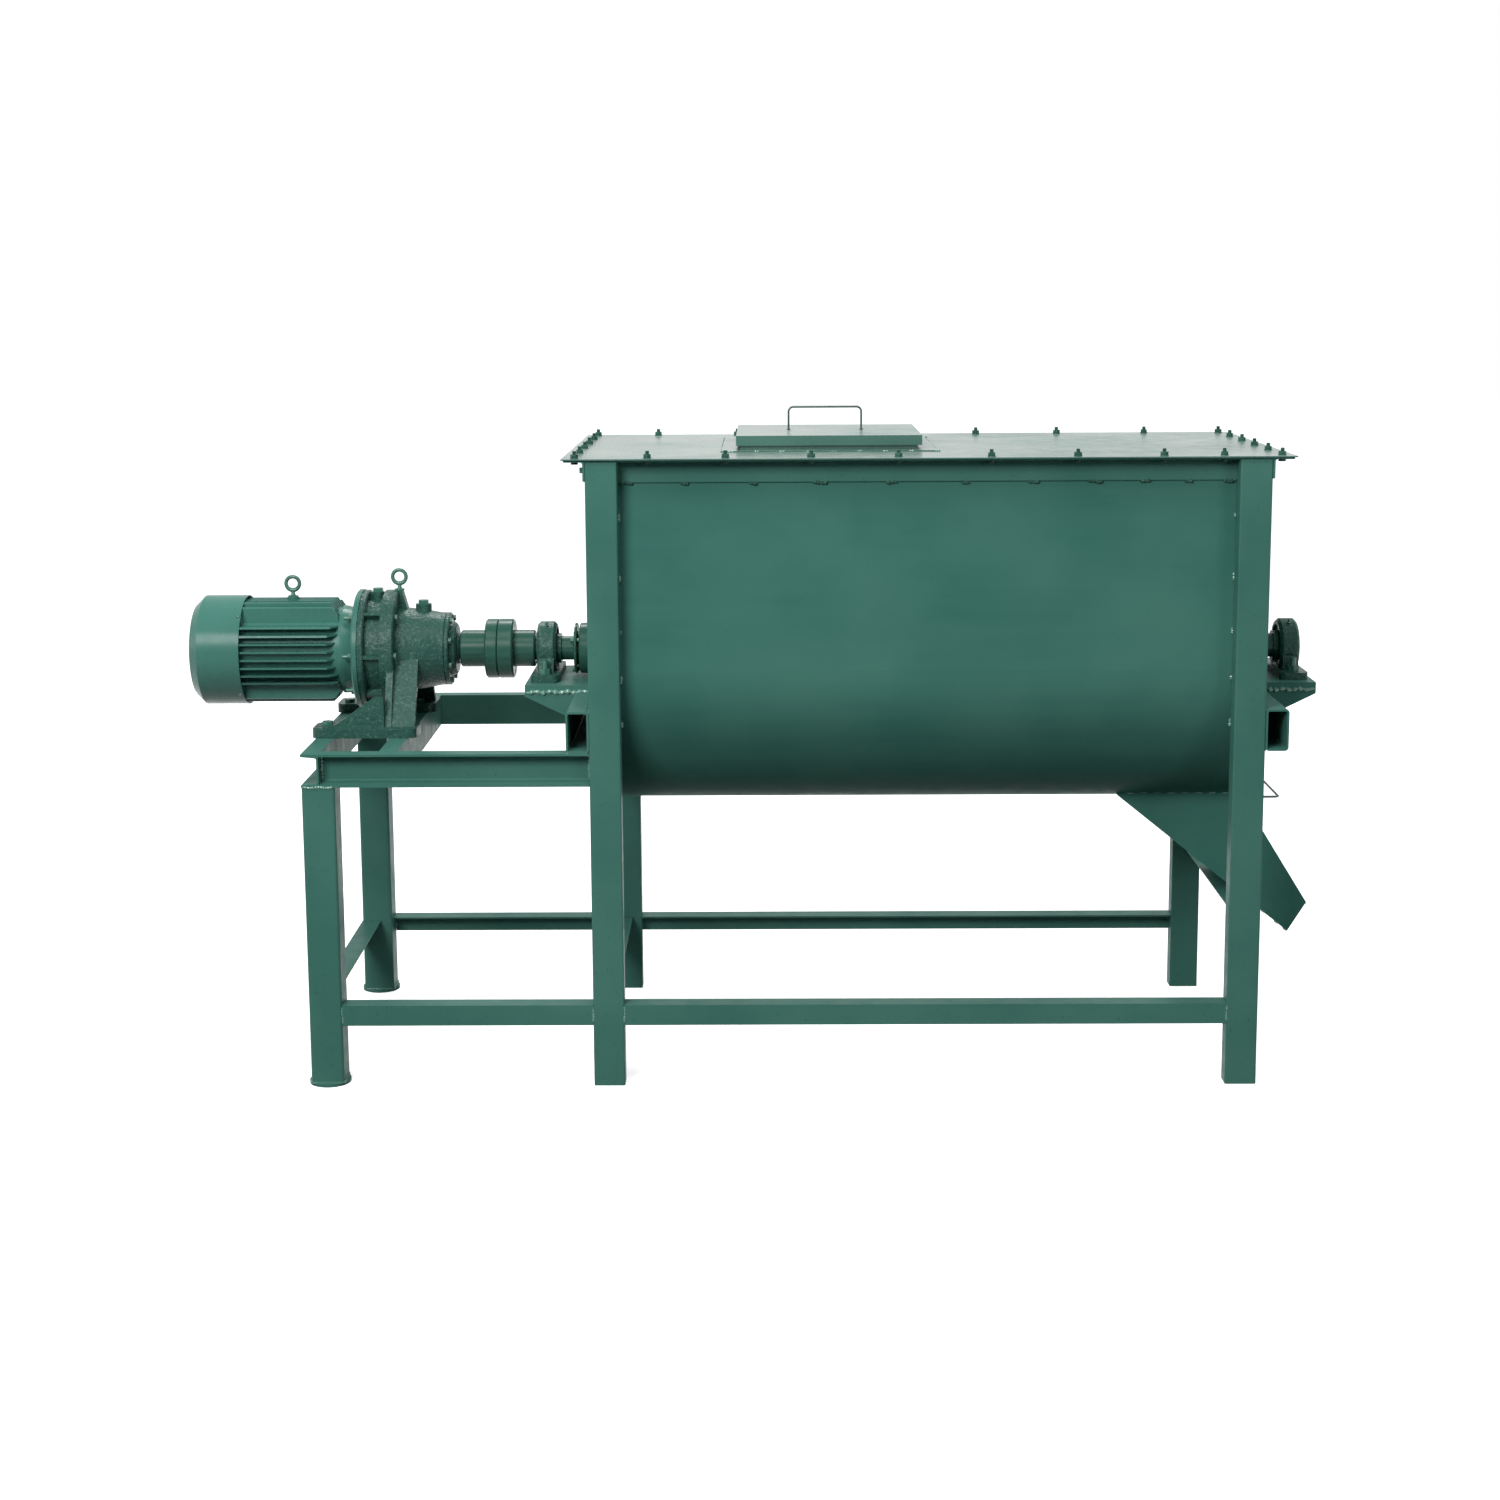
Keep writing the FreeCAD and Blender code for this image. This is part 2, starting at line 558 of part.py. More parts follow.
def bearing_housing():
    """Pillow block: slotted base, tapered shoulders and a round barrel about the shaft."""
    x = -BEARING_OFFSET
    half_base, half_body = BEARING_BASE_WIDTH / 2, BEARING_BODY_WIDTH / 2
    half_length = BEARING_BASE_LENGTH / 2
    base_top = BRACKET_TOP + BEARING_BASE_THICKNESS
    outline = rectangle(x - half_base, x + half_base, -half_length, half_length, 16.0)
    body = flat_plate(outline, BRACKET_TOP, base_top)
    shoulder = half_length * 0.62
    flank = BEARING_BODY_RADIUS * 0.93
    shoulders = [
        (-shoulder - 4, base_top - 4),
        (-flank, SHAFT_HEIGHT - 10),
        (-flank, SHAFT_HEIGHT + 12),
        (flank, SHAFT_HEIGHT + 12),
        (flank, SHAFT_HEIGHT - 10),
        (shoulder + 4, base_top - 4),
    ]
    body = body.fuse(cross_plate(shoulders, x - half_body + 5, x + half_body - 5))
    radius = BEARING_BODY_RADIUS
    barrel = [
        (x - half_body, 0),
        (x + half_body, 0),
        (x + half_body, radius, 7.0),
        (x - half_body, radius, 7.0),
    ]
    body = body.fuse(turned(barrel)).removeSplitter()
    bore = BEARING_RING_RADIUS + RUNNING_FIT
    cavity = [
        (x - half_body - 1, 0),
        (x + half_body + 1, 0),
        (x + half_body + 1, 54),
        (x + half_body - 6, 51),
        (x + half_body - 6, bore),
        (x - half_body + 6, bore),
        (x - half_body + 6, 51),
        (x - half_body - 1, 54),
    ]
    body = body.cut(turned(cavity))
    for y in (-BEARING_BOLT_SPACING / 2, BEARING_BOLT_SPACING / 2):
        slot = flat_plate(rectangle(x - 10, x + 10, y - 14, y + 14, 9.9), BRACKET_TOP - 1, base_top + 1)
        body = body.cut(slot)
    return body


def hex_bolt(seat, up, radius, grip, across, head, stud=0.0):
    """Head or nut on seat, the shank going back through the grip, and a stud end standing beyond."""
    beyond = head + stud if stud else head / 2
    return hexagon(seat, up, across, head).fuse(rod(seat - up * grip, seat + up * beyond, radius))


def make_bearings():
    bracket, housing = bearing_bracket(), bearing_housing()
    x = -BEARING_OFFSET
    ring_solid = ring(x - BEARING_RING_SHORT, x + BEARING_RING_LONG, SHAFT_RADIUS, BEARING_RING_RADIUS)
    save("bearing_bracket_left", bracket)
    save("bearing_bracket_right", mirrored(bracket))
    save("bearing_housing_left", housing)
    save("bearing_housing_right", mirrored(housing))
    save("bearing_rings", ring_solid, mirrored(ring_solid))


def bearing_bolts():
    """Bolts through the slots of the drive-end pillow block and its bracket."""
    bolts = []
    for y in (-BEARING_BOLT_SPACING / 2, BEARING_BOLT_SPACING / 2):
        seat = V(-BEARING_OFFSET, y, BRACKET_TOP + BEARING_BASE_THICKNESS)
        grip = BEARING_BASE_THICKNESS + BRACKET_PLATE + 8
        bolts.append(hex_bolt(seat, ALONG_Z, 8.0, grip, 24.0, 15.0, 20.0))
    return bolts


def gland_stud_places():
    """Stud tips on the outer face of the drive-end follower."""
    x = -GLAND_LENGTH - GLAND_GAP - GLAND_FLANGE
    return [on_circle((PACKING_RADIUS + GLAND_RADIUS) / 2, degrees, x) for degrees in (60, 180, 300)]


def gland_studs():
    """Studs that pull the drive-end follower towards its stuffing box."""
    grip = GLAND_FLANGE + GLAND_GAP + GLAND_STUD_DEPTH
    return [hex_bolt(tip, -ALONG_X, 5.0, grip, 16.0, 8.0) for tip in gland_stud_places()]


def make_glands():
    """Stuffing box on each end plate and the follower that presses its packing."""
    bore = SHAFT_RADIUS + SHAFT_CLEARANCE
    box = turned([
        (-GLAND_LENGTH, PACKING_RADIUS),
        (-GLAND_FLOOR, PACKING_RADIUS),
        (-GLAND_FLOOR, bore),
        (0, bore),
        (0, GLAND_RADIUS),
        (-GLAND_LENGTH, GLAND_RADIUS, 3.0),
    ])
    flange_x = -GLAND_LENGTH - GLAND_GAP
    nose = PACKING_RADIUS - 0.5
    follower = turned([
        (flange_x - GLAND_FLANGE, bore),
        (-GLAND_LENGTH + GLAND_NOSE, bore),
        (-GLAND_LENGTH + GLAND_NOSE, nose),
        (flange_x, nose),
        (flange_x, GLAND_RADIUS, 2.0),
        (flange_x - GLAND_FLANGE, GLAND_RADIUS, 2.0),
    ])
    for tip in gland_stud_places():
        end = tip + V(GLAND_FLANGE + GLAND_GAP + GLAND_STUD_DEPTH, 0, 0)
        hole = rod(tip - V(1, 0, 0), end, 5.5)
        box, follower = box.cut(hole), follower.cut(hole)
    packing = ring(-GLAND_LENGTH + GLAND_NOSE, -GLAND_FLOOR, SHAFT_RADIUS + 0.3, PACKING_RADIUS)
    save("gland_boxes", box, mirrored(box))
    save("gland_followers", follower, mirrored(follower))
    save("gland_packing", packing, mirrored(packing))


# ---- Rotor --------------------------------------------------------------------------------------------
def ribbon_setback(inner):
    """Axial distance from an arm's centre to the middle of a ribbon that rests on the arm's side."""
    return RIBBON_THICKNESS / 2 + (ARM_RADIUS - ARM_SEAT) / math.cos(helix_slope(inner))


def helix_slope(radius):
    """Angle between the ribbon and the plane across the shaft at a radius."""
    return math.atan(ribbon_pitch() / (2 * math.pi * radius))


def ribbon_pitch():
    """Pitch that lets the ribbons fill the trough between the end gaps."""
    room = TROUGH_LENGTH - 2 * END_PLATE - 2 * RIBBON_END_GAP - 4 * ARM_RADIUS
    return room / (RIBBON_TURNS + RIBBON_TAIL / 360)


def first_arm_x():
    return END_PLATE + RIBBON_END_GAP + ARM_RADIUS


def ribbon(inner, outer, start, left_handed):
    """Helical strip on edge: a rectangle swept along a helix that starts just before the first arm."""
    pitch, half = ribbon_pitch(), RIBBON_THICKNESS / 2
    length = pitch * (RIBBON_TURNS + 2 * RIBBON_TAIL / 360)
    helix = Part.makeHelix(pitch, length, (inner + outer) / 2, 0, left_handed)
    corners = [V(inner, 0, -half), V(outer, 0, -half), V(outer, 0, half), V(inner, 0, half)]
    strip = Part.Wire(helix.Edges).makePipeShell([Part.makePolygon(corners + corners[:1])], True, True)
    strip.rotate(V(0, 0, 0), ALONG_Z, start + (RIBBON_TAIL if left_handed else -RIBBON_TAIL))
    strip.rotate(V(0, 0, 0), ALONG_Y, 90)
    x = first_arm_x() + ribbon_setback(inner) - pitch * RIBBON_TAIL / 360
    strip.translate(V(x, 0, SHAFT_HEIGHT))
    return strip


def ribbon_arms():
    """Round bars through the shaft, a quarter pitch and a quarter turn apart."""
    arms = []
    reach = RIBBON_RADIUS - ARM_RADIUS / 2
    for i in range(int(round(RIBBON_TURNS * 4)) + 1):
        x = first_arm_x() + i * ribbon_pitch() / 4
        arms.append(rod(on_circle(reach, 90 * i, x), on_circle(reach, 90 * i + 180, x), ARM_RADIUS))
    return arms


def coupling_half(face, flange, hub, bore, side):
    """Flange and hub turned in one piece; side is -1 for the half towards the reducer."""
    flange_x, hub_x = face + side * flange, face + side * (flange + hub)
    outline = [
        (face, bore),
        (hub_x, bore),
        (hub_x, COUPLING_HUB, 3.0),
        (flange_x, COUPLING_HUB),
        (flange_x, COUPLING_RADIUS, 4.0),
        (face, COUPLING_RADIUS, 2.0),
    ]
    return turned(outline)


def make_rotor():
    arms = ribbon_arms()
    save("ribbon_arms", *arms)
    crossing = Part.makeCompound(arms)
    start_x = COUPLING_GAP_X + COUPLING_GAP + 2
    shaft = turned([
        (start_x, 0),
        (SHAFT_END_X, 0),
        (SHAFT_END_X, SHAFT_RADIUS, 2.0),
        (start_x, SHAFT_RADIUS),
    ])
    save("main_shaft", shaft.cut(crossing))
    inner = RIBBON_RADIUS - OUTER_RIBBON_WIDTH
    outer = [ribbon(inner, RIBBON_RADIUS, start, False).cut(crossing) for start in (0, 180)]
    save("outer_ribbons", *outer)
    inner = INNER_RIBBON_RADIUS - INNER_RIBBON_WIDTH
    opposed = [ribbon(inner, INNER_RIBBON_RADIUS, start, True).cut(crossing) for start in (0, 180)]
    save("inner_ribbons", *opposed)
    drive = coupling_half(COUPLING_GAP_X, DRIVE_FLANGE, DRIVE_HUB, OUTPUT_RADIUS, -1)
    driven = coupling_half(COUPLING_GAP_X + COUPLING_GAP, DRIVEN_FLANGE, DRIVEN_HUB, SHAFT_RADIUS, 1)
    for i in range(PIN_COUNT):
        foot = on_circle(PIN_CIRCLE, 360 * i / PIN_COUNT, COUPLING_GAP_X - DRIVE_FLANGE / 2)
        tip = foot + V(DRIVE_FLANGE / 2 + COUPLING_GAP + DRIVEN_FLANGE - 3, 0, 0)
        drive = drive.fuse(rod(foot, tip, PIN_RADIUS))
        driven = driven.cut(rod(foot, tip + V(4, 0, 0), PIN_RADIUS))
    save("coupling_drive", drive)
    save("coupling_driven", driven)
    tip = COUPLING_GAP_X - 2
    start_x = REDUCER_FACE_X - OUTPUT_DEPTH
    save("output_shaft", turned([(start_x, 0), (tip, 0), (tip, OUTPUT_RADIUS), (start_x, OUTPUT_RADIUS)]))


# ---- Cycloidal reducer --------------------------------------------------------------------------------
def reducer_foot():
    """Two pads on the channels, the flange's web down to them, sloping side walls and triangular ribs."""
    foot_top = STAND_TOP + FOOT_PAD
    web_x = (REDUCER_FACE_X - HOUSING_LENGTH - RING_FLANGE, REDUCER_FACE_X - HOUSING_LENGTH)
    spread = FOOT_HALF_WIDTH - 20
    shoulder = RING_FLANGE_RADIUS - 8
    web = [
        (-spread, STAND_TOP + 4),
        (-shoulder, SHAFT_HEIGHT - 30),
        (shoulder, SHAFT_HEIGHT - 30),
        (spread, STAND_TOP + 4),
        (spread - 45, STAND_TOP + 4),
        (spread - FOOT_ARCH, foot_top + 16, 20.0),
        (FOOT_ARCH - spread, foot_top + 16, 20.0),
        (45 - spread, STAND_TOP + 4),
    ]
    foot = cross_plate(web, *web_x)
    side_x = (web_x[1] - 1, FOOT_RIGHT_X - 8)
    wall = [
        (-spread, STAND_TOP + 4),
        (FOOT_WALL - spread, STAND_TOP + 4),
        (FOOT_WALL - HOUSING_RADIUS * 0.95, SHAFT_HEIGHT - HOUSING_RADIUS * 0.25),
        (-HOUSING_RADIUS * 0.95, SHAFT_HEIGHT - HOUSING_RADIUS * 0.1),
    ]
    rib = [
        (web_x[0] + 1, STAND_TOP + 4),
        (web_x[0] + 1, foot_top + 0.75 * (SHAFT_HEIGHT - foot_top - HOUSING_RADIUS * 0.6)),
        (web_x[0] - 22, foot_top + 0.75 * (SHAFT_HEIGHT - foot_top - HOUSING_RADIUS * 0.6)),
        (FOOT_LEFT_X + 58, foot_top + 8),
        (FOOT_LEFT_X + 30, foot_top - 2),
        (FOOT_LEFT_X + 30, STAND_TOP + 4),
    ]
    pad_y = (-FOOT_HALF_WIDTH, FOOT_PAD_WIDTH - FOOT_HALF_WIDTH)
    pad = flat_plate(rectangle(FOOT_LEFT_X, FOOT_RIGHT_X, *pad_y, FOOT_CORNER), STAND_TOP, foot_top)
    near = pad.fuse([cross_plate(wall, *side_x), side_plate(rib, -spread, FOOT_WALL - spread)])
    return foot.fuse([near, front_to_back(near)])


def foot_bolt_places():
    """Bolts through the pads into the flanges of the two cross channels."""
    places = []
    for web_x in (CHANNEL_FLANGE - STAND_REACH, INNER_CHANNEL_X):
        for y in (-FOOT_BOLT_Y, FOOT_BOLT_Y):
            places.append(V(web_x - CHANNEL_FLANGE * 0.56, y, STAND_TOP + FOOT_PAD))
    return places


def foot_bolt_holes():
    """Clearance holes at the foot bolts, from above the pads to below the channel flanges."""
    holes = [rod(p + V(0, 0, 1), p - V(0, 0, FOOT_PAD + 2 * CHANNEL_LIP), FOOT_BOLT_RADIUS + 0.5)
             for p in foot_bolt_places()]
    return Part.makeCompound(holes)


def ring_plug_seat():
    """Where the oil plug sits on top of the gear ring."""
    return V(RING_MIDDLE_X, 0, SHAFT_HEIGHT + RING_RIB_RADIUS)


def ring_bolt_angles():
    """Flange bolts in line with the ribs, but none at the eye's lug above or over the foot below."""
    return [360 * i / RING_RIBS for i in range(RING_RIBS) if i % (RING_RIBS // 2)]


def make_reducer():
    flange_x = REDUCER_FACE_X - HOUSING_LENGTH
    bore = OUTPUT_RADIUS + SHAFT_CLEARANCE
    body = turned([
        (flange_x - RING_FLANGE, 0),
        (REDUCER_FACE_X - OUTPUT_DEPTH - 4, 0),
        (REDUCER_FACE_X - OUTPUT_DEPTH - 4, bore),
        (REDUCER_FACE_X, bore),
        (REDUCER_FACE_X, HOUSING_END_RADIUS, 3.0),
        (REDUCER_FACE_X - 14, HOUSING_END_RADIUS),
        (flange_x + 62, HOUSING_RADIUS - 7, 14.0),
        (flange_x, HOUSING_RADIUS),
        (flange_x, RING_FLANGE_RADIUS, 3.0),
        (flange_x - RING_FLANGE, RING_FLANGE_RADIUS),
    ])
    eye_seat = SHAFT_HEIGHT + RING_FLANGE_RADIUS
    lug = [
        (flange_x - RING_FLANGE + 2, eye_seat - 40),
        (flange_x - RING_FLANGE + 2, eye_seat),
        (flange_x + 8, eye_seat, 5.0),
        (flange_x + 22, SHAFT_HEIGHT + HOUSING_RADIUS - 8),
    ]
    body = body.fuse(side_plate(lug, -15, 15))
    filler_x = flange_x + 60
    filler_top = SHAFT_HEIGHT + HOUSING_RADIUS + 8
    filler_low = V(filler_x, 0, SHAFT_HEIGHT + HOUSING_RADIUS - 20)
    body = body.fuse(rod(filler_low, V(filler_x, 0, filler_top), FILLER_BOSS))
    body = body.fuse(reducer_foot())
    save("reducer_housing", body.cut(foot_bolt_holes()))
    ring_body = disc(INPUT_FACE_X, RING_FACE_X, RING_RADIUS)
    for i in range(RING_RIBS):
        heights = (SHAFT_HEIGHT + RING_RADIUS - RING_RIB, SHAFT_HEIGHT + RING_RIB_RADIUS)
        rib = block((INPUT_FACE_X, RING_FACE_X), (-RING_RIB / 2, RING_RIB / 2), heights)
        rib.rotate(V(0, 0, SHAFT_HEIGHT), ALONG_X, 360 * i / RING_RIBS)
        ring_body = ring_body.fuse(rib)
    ring_body = ring_body.fuse(rod(V(RING_MIDDLE_X, 0, SHAFT_HEIGHT), ring_plug_seat(), RING_PLUG_BOSS))
    ring_body = ring_body.fuse(disc(RING_FACE_X, RING_FACE_X + RING_FLANGE, RING_FLANGE_RADIUS))
    save("reducer_ring", ring_body)
    step = INPUT_FLANGE * 0.4
    save("reducer_input_flange", turned([
        (MOTOR_FACE_X, 0),
        (INPUT_FACE_X, 0),
        (INPUT_FACE_X, RING_FLANGE_RADIUS, 3.0),
        (MOTOR_FACE_X + step, RING_FLANGE_RADIUS),
        (MOTOR_FACE_X + step, RING_FLANGE_RADIUS - 2),
        (MOTOR_FACE_X, RING_FLANGE_RADIUS - 2),
    ]))
    cap_x = REDUCER_FACE_X + CAP_DEPTH
    save("reducer_end_cap", turned([
        (REDUCER_FACE_X, bore),
        (cap_x + 5, bore),
        (cap_x + 5, bore + 10),
        (cap_x, bore + 10),
        (cap_x, CAP_END_RADIUS, 4.0),
        (REDUCER_FACE_X + CAP_FLANGE, CAP_END_RADIUS + 6),
        (REDUCER_FACE_X + CAP_FLANGE, HOUSING_END_RADIUS, 3.0),
        (REDUCER_FACE_X, HOUSING_END_RADIUS),
    ]))


# ---- Motor --------------------------------------------------------------------------------------------
def motor_fins():
    """Cast fins: level ones on both flanks, upright ones above and below, sloping off at the drive end."""
    x0, x1 = MOTOR_BODY_X - MOTOR_BODY_LENGTH, MOTOR_BODY_X - 3
    reach, slope = MOTOR_FIN_RADIUS - 3, 22
    outline = [
        (x0, -reach),
        (x1 - slope, -reach),
        (x1, -MOTOR_CORE_RADIUS * 0.9),
        (x1, MOTOR_CORE_RADIUS * 0.9),
        (x1 - slope, reach),
        (x0, reach),
    ]
    fins = []
    for i in range(FIN_COUNT):
        offset = (i - (FIN_COUNT - 1) / 2) * FIN_PITCH
        fins.append(flat_plate(outline, SHAFT_HEIGHT + offset - FIN / 2, SHAFT_HEIGHT + offset + FIN / 2))
        upright = [(x, SHAFT_HEIGHT + b) for x, b in outline]
        fins.append(side_plate(upright, offset - FIN / 2, offset + FIN / 2))
    return fins


def make_motor_frame():
    x0 = MOTOR_BODY_X - MOTOR_BODY_LENGTH
    body = disc(x0, MOTOR_BODY_X, MOTOR_CORE_RADIUS).fuse(motor_fins())
    body = body.common(disc(x0, MOTOR_BODY_X, COWL_RADIUS - COWL_SHEET - 0.5))
    eye_x = MOTOR_EYE_X
    seat = SHAFT_HEIGHT + MOTOR_FIN_RADIUS + 3
    body = body.fuse(rod(V(eye_x, 0, SHAFT_HEIGHT + MOTOR_CORE_RADIUS - 8), V(eye_x, 0, seat), 15.0))
    x1, x2, z1, z2 = terminal_box_limits()
    pad = block((x1 + 8, x2 - 8), (MOTOR_CORE_RADIUS * 0.8, MOTOR_FIN_RADIUS + 1), (z1 + 8, z2 - 8))
    body = body.fuse(pad)
    shield = turned([(x0 - 12, 0), (x0, 0), (x0, MOTOR_CORE_RADIUS - 2), (x0 - 12, MOTOR_CORE_RADIUS - 14)])
    hole = disc(x0 - 13, x0 + MOTOR_SHAFT_DEPTH, MOTOR_SHAFT_RADIUS + RUNNING_FIT)
    save("motor_frame", body.fuse([shield] + cowl_lugs()).cut(hole))


def cowl_lugs():
    """Four cast lugs between the fins that the cowl is screwed down on."""
    x0 = MOTOR_BODY_X - MOTOR_BODY_LENGTH
    seat = disc(x0, COWL_X, COWL_RADIUS - COWL_SHEET)
    lugs = []
    for i in range(4):
        heights = (SHAFT_HEIGHT + MOTOR_CORE_RADIUS - 6, SHAFT_HEIGHT + COWL_RADIUS)
        lug = block((x0, COWL_X - 1), (-COWL_LUG / 2, COWL_LUG / 2), heights)
        lug.rotate(V(0, 0, SHAFT_HEIGHT), ALONG_X, 45 + 90 * i)
        lugs.append(lug.common(seat))
    return lugs


def terminal_box_limits():
    """x and z limits of the terminal box on the motor's far flank."""
    return (MOTOR_EYE_X - TERMINAL_LENGTH / 2, MOTOR_EYE_X + TERMINAL_LENGTH / 2,
            SHAFT_HEIGHT - TERMINAL_HEIGHT / 2, SHAFT_HEIGHT + TERMINAL_HEIGHT / 2)


def make_terminal_box():
    """Hollow cast box with an overhanging cover and one cable entry in its underside."""
    x1, x2, z1, z2 = terminal_box_limits()
    y1 = MOTOR_FIN_RADIUS + 1
    y2 = y1 + TERMINAL_DEPTH
    wall = TERMINAL_WALL
    box = side_plate(rectangle(x1, x2, z1, z2, 10.0), y1, y2)
    inside = side_plate(rectangle(x1 + wall, x2 - wall, z1 + wall, z2 - wall, 6.0), y1 + wall, y2 + 1)
    cover = side_plate(rectangle(x1 - 3, x2 + 3, z1 - 3, z2 + 3, 12.0), y2, y2 + 6)
    entry = V((x1 + x2) / 2, (y1 + wall + y2) / 2, z1)
    hole = rod(entry - V(0, 0, 1), entry + V(0, 0, wall + 1), CABLE_ENTRY_RADIUS)
    save("terminal_box", box.cut(inside).fuse(cover).cut(hole))


def make_motor():
    make_motor_frame()
    make_terminal_box()
    save("motor_end_shield", turned([
        (MOTOR_BODY_X, 0),
        (MOTOR_FACE_X, 0),
        (MOTOR_FACE_X, MOTOR_FLANGE_RADIUS),
        (SHIELD_X, MOTOR_FLANGE_RADIUS, 4.0),
        (SHIELD_X, MOTOR_CORE_RADIUS - 4, 5.0),
        (MOTOR_BODY_X + 8, MOTOR_CORE_RADIUS + 5, 4.0),
        (MOTOR_BODY_X, MOTOR_CORE_RADIUS + 5),
    ]))
    inner = COWL_RADIUS - COWL_SHEET
    cowl = turned([
        (COWL_X, inner),
        (COWL_X, COWL_RADIUS),
        (MOTOR_END_X, COWL_RADIUS, COWL_ROUND),
        (MOTOR_END_X, 0),
        (MOTOR_END_X + COWL_SHEET, 0),
        (MOTOR_END_X + COWL_SHEET, inner, COWL_ROUND - COWL_SHEET),
    ])
    for i in range(COWL_SLOTS):
        heights = (SHAFT_HEIGHT + COWL_SLOT_START, SHAFT_HEIGHT + COWL_SLOT_END)
        depth = (MOTOR_END_X - 1, MOTOR_END_X + COWL_SHEET + 1)
        slot = block(depth, (-COWL_SLOT / 2, COWL_SLOT / 2), heights)
        slot.rotate(V(0, 0, SHAFT_HEIGHT), ALONG_X, 360 * i / COWL_SLOTS)
        cowl = cowl.cut(slot)
    save("motor_cowl", cowl)
    make_motor_rotor()


def make_motor_rotor():
    """Motor shaft end and the radial fan that it turns inside the cowl."""
    x0 = MOTOR_BODY_X - MOTOR_BODY_LENGTH
    fan_x = MOTOR_END_X + COWL_SHEET + FAN_HUB_GAP
    save("motor_shaft", disc(fan_x, x0 + MOTOR_SHAFT_DEPTH - 2, MOTOR_SHAFT_RADIUS))
    back_x = x0 - FAN_BACK_GAP
    hub_x = fan_x + FAN_SHEET
    hub_radius = MOTOR_SHAFT_RADIUS + FAN_HUB_WALL
    fan = ring(hub_x, back_x, MOTOR_SHAFT_RADIUS, hub_radius).fuse(
        ring(back_x - FAN_SHEET, back_x, MOTOR_SHAFT_RADIUS, FAN_RADIUS)
    )
    for i in range(FAN_BLADES):
        blade = side_plate(
            [
                (hub_x + FAN_SHEET, SHAFT_HEIGHT + hub_radius - FAN_SHEET),
                (back_x - FAN_SHEET / 2, SHAFT_HEIGHT + hub_radius - FAN_SHEET),
                (back_x - FAN_SHEET / 2, SHAFT_HEIGHT + FAN_RADIUS),
                (hub_x + FAN_SHEET + FAN_SLOPE, SHAFT_HEIGHT + FAN_RADIUS),
            ],
            -FAN_SHEET / 2,
            FAN_SHEET / 2,
        )
        blade.rotate(V(0, 0, SHAFT_HEIGHT), ALONG_X, 360 * i / FAN_BLADES)
        fan = fan.fuse(blade)
    save("motor_fan", fan)


# ---- Fasteners ----------------------------------------------------------------------------------------
def eye_bolt(seat):
    """Lifting eye in the plane of the shaft: collar, neck and ring."""
    centre = seat + V(0, 0, EYE_RADIUS + EYE_WIRE + 13)
    section = []
    for i in range(EYE_SIDES):
        a = 2 * math.pi * (i + 0.5) / EYE_SIDES
        section.append(centre + V(EYE_RADIUS + EYE_WIRE * math.cos(a), EYE_WIRE * math.sin(a), 0))
    eye = Part.Face(Part.makePolygon(section + section[:1])).revolve(centre, ALONG_Y, 360)
    neck = rod(seat, centre - V(0, 0, EYE_RADIUS), 5.0)
    return eye.fuse([neck, rod(seat, seat + V(0, 0, 4), 10.0)])


def drive_bolts():
    """Bolts of the reducer's foot, ring, end cap and motor flange, and the filler plug."""
    bolts = []
    for seat in foot_bolt_places():
        bolts.append(hex_bolt(seat, ALONG_Z, FOOT_BOLT_RADIUS, FOOT_PAD + CHANNEL_LIP + 4, 24.0, 9.0))
    for degrees in ring_bolt_angles():
        seat = on_circle(RING_BOLT_CIRCLE, degrees, REDUCER_FACE_X - HOUSING_LENGTH)
        bolts.append(hexagon(seat, ALONG_X, 17.0, 7.0))
        seat = on_circle(RING_BOLT_CIRCLE, degrees, SHIELD_X)
        bolts.append(hex_bolt(seat, -ALONG_X, 5.0, 0.0, 17.0, 9.0, 14.0))
    bolts.append(hexagon(ring_plug_seat(), ALONG_Z, 24.0, 10.0))
    for i in range(CAP_BOLTS):
        seat = on_circle((HOUSING_END_RADIUS + CAP_END_RADIUS + 6) / 2, 360 * (i + 0.5) / CAP_BOLTS,
                         REDUCER_FACE_X + CAP_FLANGE)
        bolts.append(hexagon(seat, ALONG_X, 13.0, 7.0))
    filler = V(REDUCER_FACE_X - HOUSING_LENGTH + 60, 0, SHAFT_HEIGHT + HOUSING_RADIUS + 8)
    bolts.append(hexagon(filler, ALONG_Z, 24.0, 10.0))
    return bolts


def make_fasteners():
    bolts = bearing_bolts() + gland_studs()
    bolts += [mirrored(b) for b in bolts]
    earth = V(-ANGLE_WALL, -FRAME_Y + ANGLE_LEG / 2, RIM_HEIGHT - ANGLE_LEG / 2)
    bolts.append(hex_bolt(earth, -ALONG_X, 4.0, 0.0, 13.0, 8.0))
    save("machine_bolts", *bolts, *drive_bolts())
    reducer_eye = V(REDUCER_FACE_X - HOUSING_LENGTH, 0, SHAFT_HEIGHT + RING_FLANGE_RADIUS)
    motor_eye = V(MOTOR_EYE_X, 0, SHAFT_HEIGHT + MOTOR_FIN_RADIUS + 3)
    save("eye_bolts", eye_bolt(reducer_eye), eye_bolt(motor_eye))


# ---- Lid and hatch ------------------------------------------------------------------------------------
def hatch_outline(length, width):
    """Corners of a rectangle of that size about the hatch's centre."""
    return rectangle(HATCH_X - length / 2, HATCH_X + length / 2, HATCH_Y - width / 2, HATCH_Y + width / 2)


